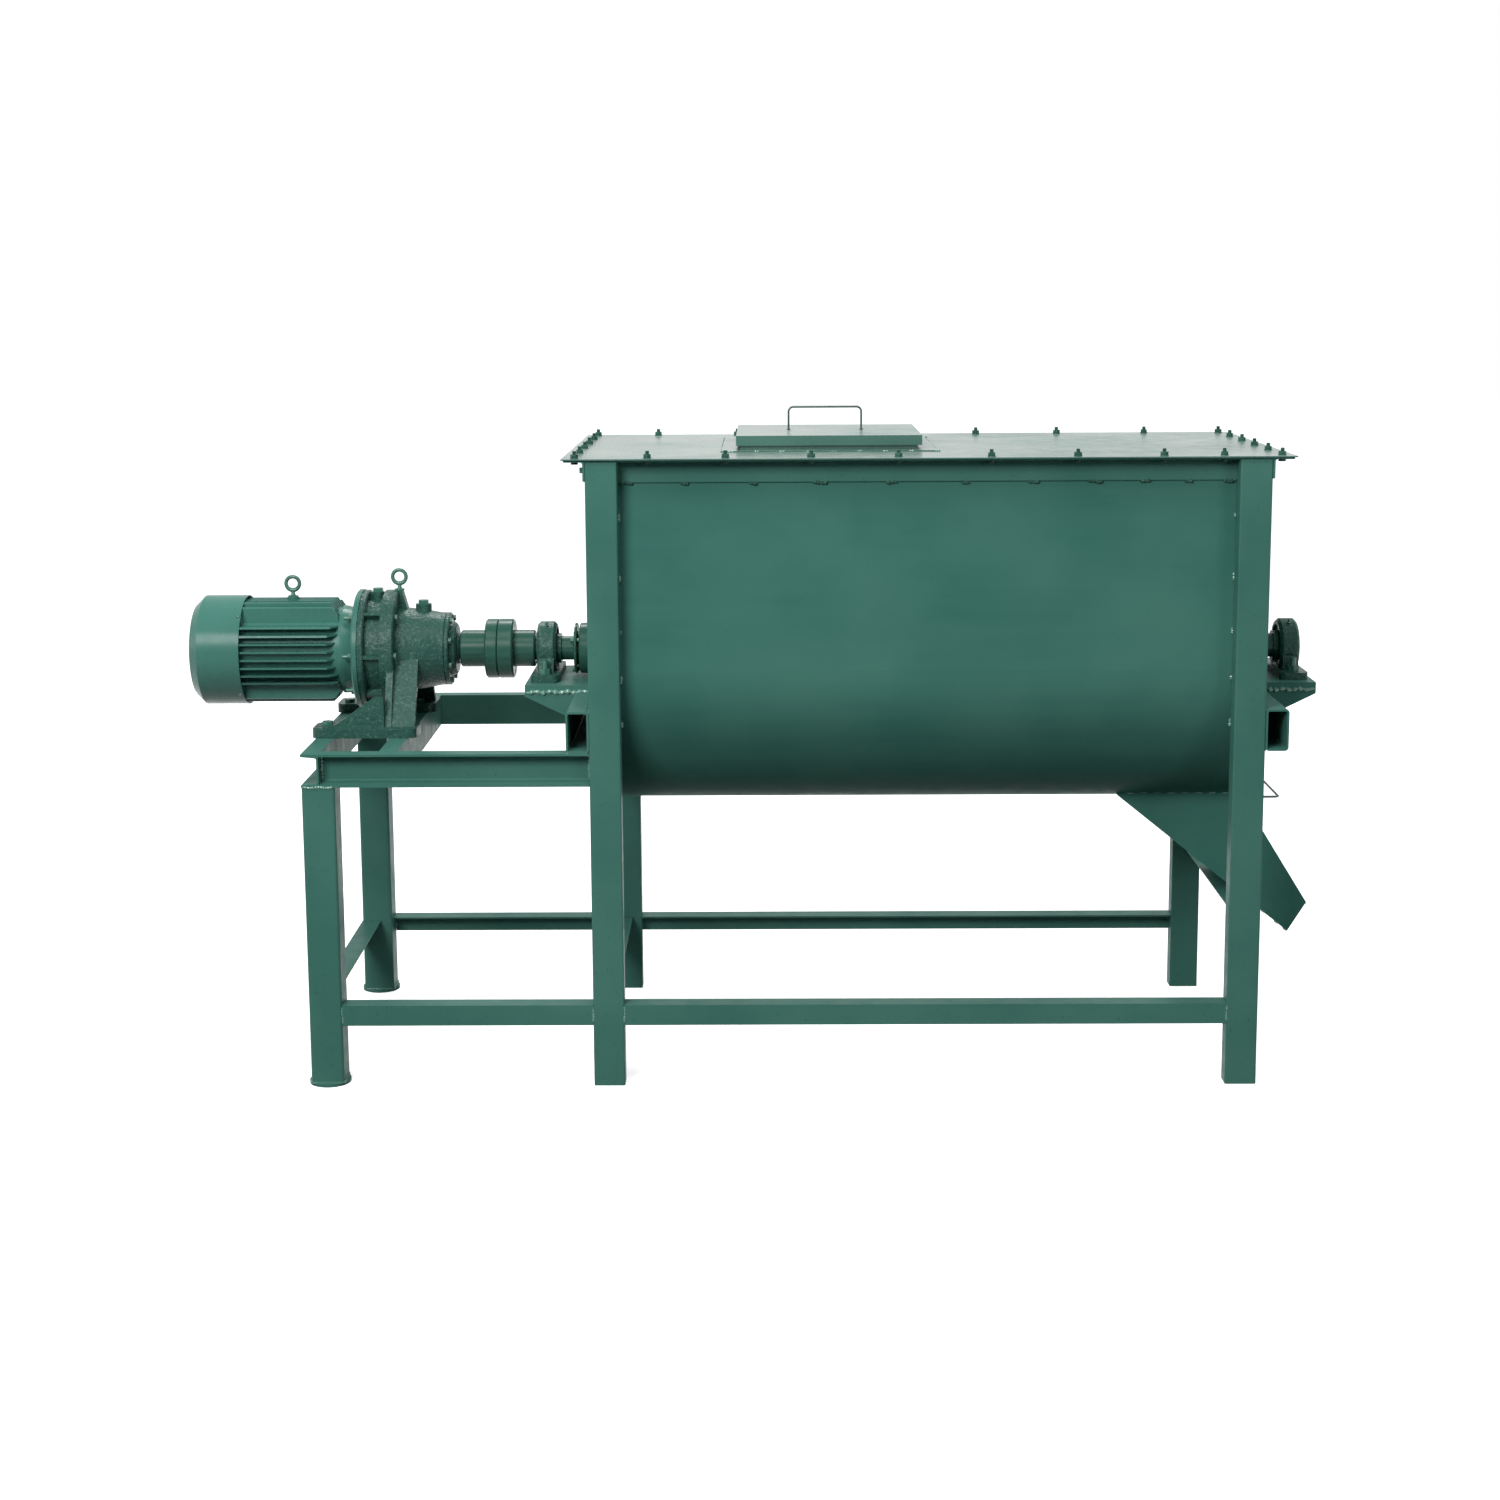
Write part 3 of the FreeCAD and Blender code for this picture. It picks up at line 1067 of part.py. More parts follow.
def make_lid():
    outline = rectangle(
        -LID_EDGE_X, TROUGH_LENGTH + LID_EDGE_X, -FRAME_Y - LID_OVERHANG_Y, FRAME_Y + LID_OVERHANG_Y
    )
    neck_hole = hatch_outline(NECK_LENGTH - 2 * NECK_SHEET, NECK_WIDTH - 2 * NECK_SHEET)
    lid = flat_plate(outline, RIM_HEIGHT, LID_TOP).cut(flat_plate(neck_hole, RIM_HEIGHT - 1, LID_TOP + 1))
    save("lid_sheet", lid)
    neck = flat_plate(hatch_outline(NECK_LENGTH, NECK_WIDTH), LID_TOP, NECK_TOP)
    flange = hatch_outline(NECK_LENGTH + 2 * NECK_FLANGE, NECK_WIDTH + 2 * NECK_FLANGE)
    neck = neck.fuse(flat_plate(flange, LID_TOP, LID_TOP + NECK_SHEET))
    neck = neck.cut(flat_plate(neck_hole, LID_TOP - 1, NECK_TOP + 1))
    save("hatch_neck", neck)
    skirt_low = COVER_TOP - COVER_SKIRT
    cover = flat_plate(hatch_outline(COVER_LENGTH, COVER_WIDTH), skirt_low, COVER_TOP)
    inside = hatch_outline(COVER_LENGTH - 2 * COVER_SHEET, COVER_WIDTH - 2 * COVER_SHEET)
    cover = cover.cut(flat_plate(inside, skirt_low - 1, NECK_TOP))
    save("hatch_cover", cover)
    y = HATCH_Y + HANDLE_OFFSET
    left, right = HATCH_BAR_X - HANDLE_SPAN / 2, HATCH_BAR_X + HANDLE_SPAN / 2
    high = COVER_TOP + HANDLE_RISE
    route = [V(left, y, COVER_TOP), V(left, y, high), V(right, y, high), V(right, y, COVER_TOP)]
    save("hatch_handle", bent_rod(route, HATCH_BAR_RADIUS, HANDLE_BEND))


# ---- Discharge chute and gate -------------------------------------------------------------------------
def chute_floor_z(x):
    """Height of the chute floor's underside at x."""
    return CHUTE_START_Z - (x - CHUTE_START_X) * math.tan(FLOOR_SLOPE)


def chute_roof_x(z):
    """Where the chute roof's upper face is at height z."""
    return CHUTE_MOUTH_X - (z - CHUTE_MOUTH_Z) / math.tan(ROOF_SLOPE)


def make_chute():
    inner = CHUTE_HALF - CHUTE_SHEET
    top = SHAFT_HEIGHT - TROUGH_RADIUS / 2
    roof_top = GATE_Z - GATE_CLEARANCE
    roof_x = chute_roof_x(roof_top)
    side = [
        (CHUTE_START_X, top),
        (CHUTE_START_X, CHUTE_START_Z),
        (CHUTE_FLOOR_X, chute_floor_z(CHUTE_FLOOR_X)),
        (CHUTE_MOUTH_X, CHUTE_MOUTH_Z),
        (roof_x, roof_top),
        (roof_x, SHAFT_HEIGHT - TROUGH_RADIUS * 0.938),
        (TROUGH_LENGTH, SHAFT_HEIGHT - TROUGH_RADIUS * 0.938),
        (TROUGH_LENGTH, top),
    ]
    rise = CHUTE_SHEET / math.cos(FLOOR_SLOPE)
    floor = [
        (CHUTE_START_X, CHUTE_START_Z + rise),
        (CHUTE_START_X, CHUTE_START_Z),
        (CHUTE_FLOOR_X, chute_floor_z(CHUTE_FLOOR_X)),
        (CHUTE_FLOOR_X, chute_floor_z(CHUTE_FLOOR_X) + rise),
    ]
    drop = CHUTE_SHEET / math.cos(ROOF_SLOPE)
    roof = [
        (CHUTE_MOUTH_X, CHUTE_MOUTH_Z),
        (roof_x, roof_top),
        (roof_x, roof_top - drop),
        (CHUTE_MOUTH_X, CHUTE_MOUTH_Z - drop),
    ]
    body = side_plate(side, -CHUTE_HALF, -inner).fuse(side_plate(side, inner, CHUTE_HALF))
    body = body.fuse([side_plate(floor, -inner, inner), side_plate(roof, -inner, inner)])
    for y0, y1 in ((-inner, GUIDE_WIDTH - inner), (inner - GUIDE_WIDTH, inner)):
        guide = block((GATE_START_X, TROUGH_LENGTH), (y0, y1), (GATE_Z - GUIDE_SHEET, GATE_Z))
        body = body.fuse(guide)
    body = body.cut(trough_form(TROUGH_RADIUS, 0, TROUGH_LENGTH, RIM_HEIGHT))
    save("chute", body)
    gate_half = inner - GATE_CLEARANCE
    gate = block((GATE_START_X, GATE_END_X), (-gate_half, gate_half), (GATE_Z, GATE_Z + GATE_SHEET))
    save("gate_plate", gate)
    y = gate_half - 2 * GATE_BAR_RADIUS
    z = GATE_Z + GATE_SHEET / 2
    reach = GATE_END_X + GATE_HANDLE_REACH
    route = [V(GATE_END_X, -y, z), V(reach, -y, z), V(reach, y, z), V(GATE_END_X, y, z)]
    save("gate_handle", bent_rod(route, GATE_BAR_RADIUS, HANDLE_BEND))


os.makedirs("parts", exist_ok=True)
make_trough()
make_frame()
make_stand()
make_bearings()
make_glands()
make_rotor()
make_reducer()
make_motor()
make_fasteners()
make_lid()
make_chute()
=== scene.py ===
import math

import bmesh
import bpy
import numpy as np
from mathutils import Matrix, Vector


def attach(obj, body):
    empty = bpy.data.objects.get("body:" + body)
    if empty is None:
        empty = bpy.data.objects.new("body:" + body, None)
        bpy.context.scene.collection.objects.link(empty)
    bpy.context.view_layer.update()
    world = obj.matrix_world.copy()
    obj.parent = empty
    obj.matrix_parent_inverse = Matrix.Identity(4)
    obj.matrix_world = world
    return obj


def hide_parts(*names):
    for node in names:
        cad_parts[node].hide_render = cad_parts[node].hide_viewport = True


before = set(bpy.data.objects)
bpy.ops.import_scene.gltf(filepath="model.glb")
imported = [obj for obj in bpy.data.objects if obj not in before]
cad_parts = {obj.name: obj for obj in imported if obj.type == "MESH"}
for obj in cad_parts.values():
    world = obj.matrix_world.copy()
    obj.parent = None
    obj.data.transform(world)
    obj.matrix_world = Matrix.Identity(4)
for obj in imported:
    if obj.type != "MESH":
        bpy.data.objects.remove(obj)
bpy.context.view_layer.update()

# ---- Sizes of the finishing pieces, in metres ---------------------------------------------------------
MIDDLE = 0.3805  # from the drive-end plate to the middle of the machine
SKIN = 0.0003  # how far a bead or washer sinks into what it sits on
# In millimetres, as the points that at() takes.
SHAFT_LINE = 1008
TROUGH_RADIUS = 375
LID_FACE = 1518  # top of the lid sheet
RIM_FACE = 1510  # underside of the rim angle's level leg
RIM_WEB_EDGE = 1457.5  # under the lower edge of its web


def at(x, y, z):
    """Point given from the drive-end plate, the shaft's plane and the floor, in millimetres."""
    return np.array([x / 1000 - MIDDLE, y / 1000, z / 1000])


# ---- Surfaces -----------------------------------------------------------------------------------------
def grid(points, round_the_row=True):
    """Quads of a grid of points; each row closes on itself when it goes round the piece."""
    rows, columns = points.shape[:2]
    index = np.arange(rows * columns).reshape(rows, columns)
    beside = np.roll(index, -1, axis=1)
    if not round_the_row:
        index, beside = index[:, :-1], index[:, 1:]
    quads = np.stack([index[:-1], beside[:-1], beside[1:], index[1:]], axis=-1)
    return points.reshape(-1, 3), quads.reshape(-1, 4)


def lathe(profile, segments=28, across=None):
    """Turned surface about Z: (r cos a, r sin a, h). With across, r is capped by the hexagon's flats,
    (across / 2) / cos(a from the flat's middle)."""
    radius, height = np.array(profile, float).T
    a = np.linspace(0, 2 * math.pi, segments, endpoint=False)
    r = np.repeat(radius[:, None], segments, axis=1)
    if across:
        from_middle = np.mod(a, math.pi / 3) - math.pi / 6
        r = np.minimum(r, across / 2 / np.cos(from_middle)[None, :])
    points = np.stack([r * np.cos(a), r * np.sin(a), np.repeat(height[:, None], segments, axis=1)], axis=-1)
    return grid(points)


def tube(path, radius, normal, sides=12, closed=False):
    """Round section carried along a flat path: p + r (cos a n + sin a b), with n the path's side."""
    path = np.array(path, float)
    radius = np.broadcast_to(np.asarray(radius, float), len(path))
    if closed:
        along = np.roll(path, -1, axis=0) - np.roll(path, 1, axis=0)
    else:
        along = np.gradient(path, axis=0)
    along /= np.linalg.norm(along, axis=1, keepdims=True)
    lift = np.array(normal, float) / np.linalg.norm(normal)
    side = np.cross(lift, along)
    side /= np.linalg.norm(side, axis=1, keepdims=True)
    a = np.linspace(0, 2 * math.pi, sides, endpoint=False)
    ring = side[:, None, :] * np.cos(a)[None, :, None] + lift[None, None, :] * np.sin(a)[None, :, None]
    points = path[:, None, :] + ring * radius[:, None, None]
    if closed:
        points = np.concatenate([points, points[:1]])
    else:
        ends = [np.repeat(path[i][None, None, :], sides, axis=1) for i in (0, -1)]
        points = np.concatenate([ends[0], points, ends[1]])
    return grid(points)


def placed(part, place, up=(0, 0, 1), turn=0.0):
    """A part with its Z axis laid along up and its origin at place."""
    points, quads = part
    spin = Matrix.Rotation(turn, 3, "Z")
    stand = Vector((0, 0, 1)).rotation_difference(Vector(up).normalized()).to_matrix()
    return points @ np.array(stand @ spin).T + np.array(place), quads


def piece(name, parts, material, body, smooth=True, replaces=()):
    """Joins parts into one piece with closed poles and faces pointing outwards, and seats it on a body."""
    points, quads, start = [], [], 0
    for part_points, part_quads in parts:
        points.append(part_points)
        quads.append(part_quads + start)
        start += len(part_points)
    mesh = bpy.data.meshes.new(name)
    mesh.from_pydata(np.concatenate(points).tolist(), [], np.concatenate(quads).tolist())
    work = bmesh.new()
    work.from_mesh(mesh)
    bmesh.ops.remove_doubles(work, verts=work.verts, dist=1e-6)
    bmesh.ops.dissolve_degenerate(work, dist=1e-7, edges=work.edges)
    bmesh.ops.recalc_face_normals(work, faces=work.faces)
    work.to_mesh(mesh)
    work.free()
    if smooth:
        mesh.shade_smooth()
        mesh.set_sharp_from_angle(angle=math.radians(38))
    mesh.materials.append(material)
    made = bpy.data.objects.new(name, mesh)
    bpy.context.scene.collection.objects.link(made)
    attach(made, body)
    if replaces:
        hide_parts(*replaces)
    return made


def bead(start, end, width, normal, pitch=0.006, depth=0.2, seed=0.0, sides=8):
    """Weld bead: a tube whose radius rises and falls with each drop of metal,
    r = w/2 (1 - depth + depth |cos(pi s / pitch)|) (1 + wander), and tapers off at both ends."""
    start, end = np.array(start, float), np.array(end, float)
    length = np.linalg.norm(end - start)
    count = max(9, int(length / pitch * 5))
    u = np.linspace(0, 1, count)
    s = u * length
    wander = 0.10 * np.sin(s * 210 + seed * 7) + 0.07 * np.sin(s * 513 + seed * 3)
    radius = width / 2 * (1 - depth + depth * np.abs(np.cos(math.pi * s / pitch))) * (1 + wander)
    radius *= np.clip(1 - (2 * u - 1) ** 10, 0.02, 1) ** 0.5
    side = np.cross(np.array(normal, float), (end - start) / length)
    path = start + u[:, None] * (end - start) + side * (0.12 * width * np.sin(s * 160 + seed * 11))[:, None]
    return tube(path, radius, normal, sides)


# ---- Materials ----------------------------------------------------------------------------------------
def linear(code):
    """Linear colour of an sRGB hex value."""
    parts = [int(code[i:i + 2], 16) / 255 for i in (1, 3, 5)]
    return tuple(c / 12.92 if c <= 0.04045 else ((c + 0.055) / 1.055) ** 2.4 for c in parts) + (1.0,)


def add(tree, kind, inputs=None, **settings):
    """Adds one node with its settings, and sets or links its inputs."""
    node = tree.nodes.new(kind)
    for key, value in settings.items():
        setattr(node, key, value)
    for key, value in (inputs or {}).items():
        if isinstance(value, bpy.types.NodeSocket):
            tree.links.new(value, node.inputs[key])
        else:
            node.inputs[key].default_value = value
    return node


def blank(name):
    material = bpy.data.materials.new(name)
    material.use_nodes = True
    tree = material.node_tree
    tree.nodes.clear()
    return material, tree


def noise(tree, place, size, detail=2.0, rough=0.5):
    """Fractal noise whose lumps are about size metres across."""
    return add(tree, "ShaderNodeTexNoise",
               {"Vector": place, "Scale": 1.0 / size, "Detail": detail, "Roughness": rough}).outputs["Fac"]


def ranged(tree, value, low, high, to_low, to_high):
    return add(tree, "ShaderNodeMapRange", {
        "Value": value, "From Min": low, "From Max": high, "To Min": to_low, "To Max": to_high,
    }).outputs["Result"]


def mixed(tree, factor, first, second):
    return add(tree, "ShaderNodeMix", {0: factor, 6: first, 7: second}, data_type="RGBA").outputs[2]


def bumped(tree, height, distance, strength=1.0, under=None):
    inputs = {"Height": height, "Distance": distance, "Strength": strength}
    if under is not None:
        inputs["Normal"] = under
    return add(tree, "ShaderNodeBump", inputs).outputs["Normal"]


def enamel(name, base, pale, dark, gloss=(0.28, 0.42), grain=0.0022, grain_height=0.00006,
           swell=0.12, swell_height=0.0006, streak=0.0, specular=0.4, dust_and_sheen=0.0, specked=0.55,
           crest=0.0):
    """Air-dried machine enamel: colour that drifts over a hand's width, sags and streaks that run level,
    orange peel of about two millimetres, and the plate's own slow waves under it."""
    material, tree = blank(name)
    coords = add(tree, "ShaderNodeTexCoord").outputs["Object"]
    drift = ranged(tree, noise(tree, coords, 0.30, 3.0), 0.35, 0.68, 0.0, 1.0)
    colour = mixed(tree, drift, linear(base), linear(pale))
    specks = ranged(tree, noise(tree, coords, 0.012, 4.0, 0.65), 0.62, 0.78, 0.0, specked)
    colour = mixed(tree, specks, colour, linear(dark))
    if streak:
        level = add(tree, "ShaderNodeMapping", {"Vector": coords, "Scale": (1.0, 1.0, 14.0)})
        runs = ranged(tree, noise(tree, level.outputs["Vector"], 0.9, 4.0, 0.6), 0.42, 0.66, 0.0, streak)
        colour = mixed(tree, runs, colour, linear(pale))
    # Pale grey on upward faces in broad patches: partly dust, partly painted reflection of the pale
    # surroundings.
    if dust_and_sheen:
        facing = add(tree, "ShaderNodeNewGeometry").outputs["Normal"]
        upward = add(tree, "ShaderNodeSeparateXYZ", {"Vector": facing}).outputs["Z"]
        patches = ranged(tree, noise(tree, coords, 0.45, 2.0), 0.40, 0.62, 0.0, dust_and_sheen)
        dust_and_sheen_mask = add(tree, "ShaderNodeMath", {0: ranged(tree, upward, 0.75, 1.0, 0.0, 1.0), 1: patches},
                   operation="MULTIPLY").outputs[0]
        colour = mixed(tree, dust_and_sheen_mask, colour, linear("#B4B5B0"))
    # Pale specks on the grain's crests: painted glints standing in for the grit's sparkle.
    if crest:
        painted_glints = ranged(tree, noise(tree, coords, grain * 0.7, 3.0, 0.7), 0.56, 0.72, 0.0, crest)
        colour = mixed(tree, painted_glints, colour, linear("#8FB3A8"))
    shine = ranged(tree, noise(tree, coords, 0.045, 4.0, 0.6), 0.3, 0.7, gloss[0], gloss[1])
    normal = bumped(tree, noise(tree, coords, swell, 1.0), swell_height)
    normal = bumped(tree, noise(tree, coords, grain, 2.0), grain_height, 1.0, normal)
    shader = add(tree, "ShaderNodeBsdfPrincipled",
                 {"Base Color": colour, "Roughness": shine, "Normal": normal})
    shader.inputs["IOR"].default_value = 1.5
    shader.inputs["Specular IOR Level"].default_value = specular
    add(tree, "ShaderNodeOutputMaterial", {"Surface": shader.outputs["BSDF"]})
    return material


def metal(name, base, tarnish, gloss, grain=0.001, height=0.00002):
    """Bare steel: the metal's own grey, with darker patches of handling and fine drawn or ground marks."""
    material, tree = blank(name)
    coords = add(tree, "ShaderNodeTexCoord").outputs["Object"]
    patches = ranged(tree, noise(tree, coords, 0.03, 5.0, 0.6), 0.4, 0.65, 0.0, 1.0)
    colour = mixed(tree, patches, linear(base), linear(tarnish))
    shine = ranged(tree, noise(tree, coords, 0.015, 3.0), 0.3, 0.7, gloss[0], gloss[1])
    normal = bumped(tree, noise(tree, coords, grain, 2.0), height)
    shader = add(tree, "ShaderNodeBsdfPrincipled",
                 {"Base Color": colour, "Roughness": shine, "Normal": normal})
    shader.inputs["Metallic"].default_value = 1.0
    add(tree, "ShaderNodeOutputMaterial", {"Surface": shader.outputs["BSDF"]})
    return material


def moulded(name, base, pale, gloss, grain, height):
    """Plastic or fibre with a fine even grain."""
    material, tree = blank(name)
    coords = add(tree, "ShaderNodeTexCoord").outputs["Object"]
    colour = mixed(tree, noise(tree, coords, grain * 6, 3.0), linear(base), linear(pale))
    shine = ranged(tree, noise(tree, coords, 0.02, 3.0), 0.3, 0.7, gloss[0], gloss[1])
    normal = bumped(tree, noise(tree, coords, grain, 2.0), height)
    shader = add(tree, "ShaderNodeBsdfPrincipled",
                 {"Base Color": colour, "Roughness": shine, "Normal": normal})
    add(tree, "ShaderNodeOutputMaterial", {"Surface": shader.outputs["BSDF"]})
    return material


GREEN, GREEN_PALE, GREEN_DARK = "#396B61", "#46766B", "#254842"

# Sprayed enamel on rolled plate: level streaks and slow waves show on so wide a sheet.
rolled_plate_enamel = enamel("rolled_plate_enamel", GREEN, GREEN_PALE, "#33604F", (0.34, 0.46), streak=0.35,
                             specular=0.01, swell=0.35, swell_height=0.0012)
# Brushed enamel on hollow section and angle iron: a little duller, with more drift.
section_enamel = enamel("section_enamel", "#3B6A60", "#47756A", GREEN_DARK, (0.34, 0.5), specular=0.07)
# Enamel on thin flat lid sheet: glossy, with the sheet's own dents in its reflections, and pale grey patches
# on its top that are partly dust and partly painted reflection.
lid_enamel = enamel("lid_enamel", "#30584F", "#3B665B", GREEN_DARK, (0.22, 0.32), swell=0.6,
                    grain_height=0.000004, swell_height=0.0010, specular=0.55, dust_and_sheen=0.32, specked=0.08)
# Enamel over sand-cast iron: the mould's grit stands through it as bump; the pale specks on its crests are
# painted glints, and its dark base colour is partly painted shade, set to the tone of the housing's shaded
# front.
cast_iron_enamel = enamel("cast_iron_enamel", "#264A42", "#2F574D", "#142B27", (0.24, 0.40), grain=0.0110,
                          grain_height=0.0026, swell=0.03, swell_height=0.0008, specular=0.13, crest=0.27)
# Enamel over turned steel: smooth, with only the paint's own skin.
turned_steel_enamel = enamel("turned_steel_enamel", "#274E43", "#315C50", "#14302A", (0.20, 0.32),
                             grain_height=0.00003, swell_height=0.0001, specular=0.12)
# Enamel over the motor's die-cast fins and pressed cowl: even, a shade lighter than the castings; the
# lighter base is partly painted highlight, standing in for the cowl's sheen.
motor_enamel = enamel("motor_enamel", "#386A60", "#43766B", "#1F403A", (0.20, 0.32), grain_height=0.00005,
                      specular=0.13)
# Enamel daubed over threads, nuts and weld metal: thick and wet-looking.
daubed_enamel = enamel("daubed_enamel", "#346256", "#467869", "#1C3D34", (0.14, 0.28), swell=0.01,
                       swell_height=0.0004, specular=0.35)
# Enamel on the weld runs, paler than the plate: painted highlight that stands in for the shine on their
# crests.
bead_highlight_enamel = enamel("bead_highlight_enamel", "#437567", "#6F9B8E", "#234840", (0.12, 0.24), swell=0.006,
                     swell_height=0.0004, specular=0.5)
# Cold-rolled steel strip, dulled by the powders that it has moved.
mill_steel = metal("mill_steel", "#8F8F8C", "#6B6965", (0.34, 0.55))
# Ground shaft steel: bright and even.
ground_steel = metal("ground_steel", "#B4B5B7", "#98999C", (0.16, 0.28), 0.0006, 0.00001)
# Round bar with a thin mist of paint over bright drawn steel.
misted_bar = metal("misted_bar", "#4C5654", "#344A44", (0.28, 0.45))
# Moulded nylon fan.
fan_nylon = moulded("fan_nylon", "#151616", "#202121", (0.4, 0.6), 0.0015, 0.00003)
# Braided packing rope, dark with grease.
packing_braid = moulded("packing_braid", "#5B5344", "#7C725D", (0.6, 0.85), 0.004, 0.0006)

CAST = ("bearing_housing_left", "bearing_housing_right", "reducer_housing", "reducer_ring",
        "reducer_input_flange", "reducer_end_cap")
MOTOR = ("motor_frame", "motor_end_shield", "terminal_box", "motor_cowl")
TURNED = ("coupling_drive", "coupling_driven", "main_shaft", "output_shaft", "gland_boxes",
          "gland_followers", "bearing_rings")
FINISH = {n: section_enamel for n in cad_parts}
FINISH.update({n: cast_iron_enamel for n in CAST})
FINISH.update({n: turned_steel_enamel for n in TURNED})
FINISH.update({n: motor_enamel for n in MOTOR})
FINISH.update({n: rolled_plate_enamel for n in (
    "trough_shell", "end_plate_left", "end_plate_right", "chute")})
FINISH.update({n: lid_enamel for n in ("lid_sheet", "hatch_cover", "hatch_neck")})
FINISH.update({n: mill_steel for n in ("outer_ribbons", "inner_ribbons", "ribbon_arms")})
FINISH.update({n: ground_steel for n in ("motor_shaft",)})
FINISH.update({n: misted_bar for n in ("hatch_handle", "gate_handle")})
FINISH.update({"machine_bolts": daubed_enamel, "eye_bolts": daubed_enamel, "motor_fan": fan_nylon,
               "gland_packing": packing_braid})
for node_name, finish in FINISH.items():
    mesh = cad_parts[node_name].data
    mesh.materials.clear()
    mesh.materials.append(finish)


# ---- Fasteners ----------------------------------------------------------------------------------------
def nut(across, height, bore):
    """Hexagon nut: chamfered top and bottom, open to the stud's thread."""
    corner = across / 2 / math.cos(math.pi / 6)
    cut = corner - across / 2
    return lathe([(0, 0), (across / 2, 0), (corner, cut * 0.6), (corner, height - cut * 0.6),
                  (across / 2, height), (bore, height), (bore, height * 0.7), (0, height * 0.7)], 36, across)


def washer(radius, height):
    return lathe([(0, 0), (radius, 0), (radius, height * 0.7), (radius * 0.96, height), (0, height)], 24)


def thread(radius, length, pitch):
    """Stud end: rings of thread, r = R - d/2 (1 + cos(2 pi h / pitch)), and a small chamfer at the tip."""
    h = np.linspace(0, length, int(length / pitch * 6) + 2)
    r = radius - pitch * 0.22 * (1 - np.cos(2 * math.pi * h / pitch))
    r[-2:] *= 0.86
    profile = np.column_stack([np.concatenate([[0], r, [0]]), np.concatenate([[0], h, [length]])])
    return lathe(profile, 16)


FRONT_BOLTS = (-25, 145, 328, 528, 732, 949, 1150, 1351, 1491, 1625)
BACK_BOLTS = (-25, 135, 345, 560, 770, 980, 1195, 1427, 1625)
END_BOLTS = (-240, -80, 80, 240)
BOLT_LINE = 400


def lid_bolts():
    places = [(x, -BOLT_LINE) for x in FRONT_BOLTS] + [(x, BOLT_LINE) for x in BACK_BOLTS]
    places += [(x, y) for x in (-25, 1625) for y in END_BOLTS]
    parts = []
    for i, (x, y) in enumerate(places):
        above = at(x, y, LID_FACE) - np.array([0, 0, SKIN])
        below = at(x, y, RIM_FACE) + np.array([0, 0, SKIN])
        lean = (0.03 * math.sin(i * 2.3), 0.03 * math.cos(i * 3.1), 1)
        parts.append(placed(washer(0.0100, 0.0020), above))
        parts.append(placed(nut(0.016, 0.0080, 0.0048), above + np.array([0, 0, 0.0018]), lean, i * 0.7))
        parts.append(placed(thread(0.0048, 0.0175, 0.0015), above, lean))
        parts.append(placed(nut(0.016, 0.0065, 0.001), below, (0, 0, -1), i * 1.1))
    return parts


def cowl_screws():
    """Round-headed screws of the cowl, on its lugs."""
    head = lathe([(0, -0.001), (0.0052, -0.001), (0.0052, 0.0012), (0.0042, 0.0026), (0.002, 0.0032),
                  (0, 0.0033)], 20)
    parts = []
    for degrees in (45, 135, 225, 315):
        a = math.radians(degrees)
        out = np.array([0, -math.sin(a), math.cos(a)])
        parts.append(placed(head, at(-896, 0, SHAFT_LINE) + out * 0.138, out))
    return parts


def grease_nipples():
    """Ball-headed nipple on the crown of each pillow block, leaning outwards."""
    form = lathe([(0, -0.002), (0.0045, -0.002), (0.0045, 0.004), (0.0025, 0.005), (0.0022, 0.009),
                  (0.0034, 0.0105), (0.0030, 0.0130), (0.0012, 0.0142), (0, 0.0143)], 16)
    parts = []
    for x in (-132, 1732):
        a = math.radians(28)
        out = np.array([0, -math.sin(a), math.cos(a)])
        parts.append(placed(form, at(x, 0, SHAFT_LINE) + out * 0.0680, out))
    return parts


# ---- Welds --------------------------------------------------------------------------------------------
def leg_tacks():
    """Tacks that hold the trough's walls to the legs."""
    parts, seed = [], 0
    for side in (-1, 1):
        for z in (1376, 1231, 1102, 989, 880):
            for x in (75.5, 1524.5):
                seed += 1
                half = 8 + 3 * math.sin(seed * 2.1)
                y = side * 375.5
                start, end = at(x, y, z - half), at(x, y, z + half)
                parts.append(bead(start, end, 0.0085, (1, 0, 0), 0.007, 0.3, seed))
    return parts


def rim_stitches():
    """Stitches along the lower edge of the rim angles' webs."""
    parts, seed = [], 30
    for side in (-1, 1):
        for x in (94, 232, 392, 549, 718, 891, 1050, 1195, 1312, 1413, 1508):
            seed += 1
            half = 14 + 5 * math.sin(seed * 1.7)
            y = side * 376.5
            start, end = at(x - half, y, RIM_WEB_EDGE), at(x + half, y, RIM_WEB_EDGE)
            parts.append(bead(start, end, 0.0110, (0, 1, 0), 0.008, 0.3, seed))
    return parts


def bracket_welds():
    """Heavy chain-like runs along the bearing brackets' edges, where the gussets meet."""
    parts = []
    for side in (-1, 1):
        for x0, x1 in ((-176, -4), (1604, 1776)):
            y = side * 153
            parts.append(bead(at(x0, y, 921), at(x1, y, 921), 0.0125, (0, 1, 0), 0.0150, 0.55, side + x0))
    return parts


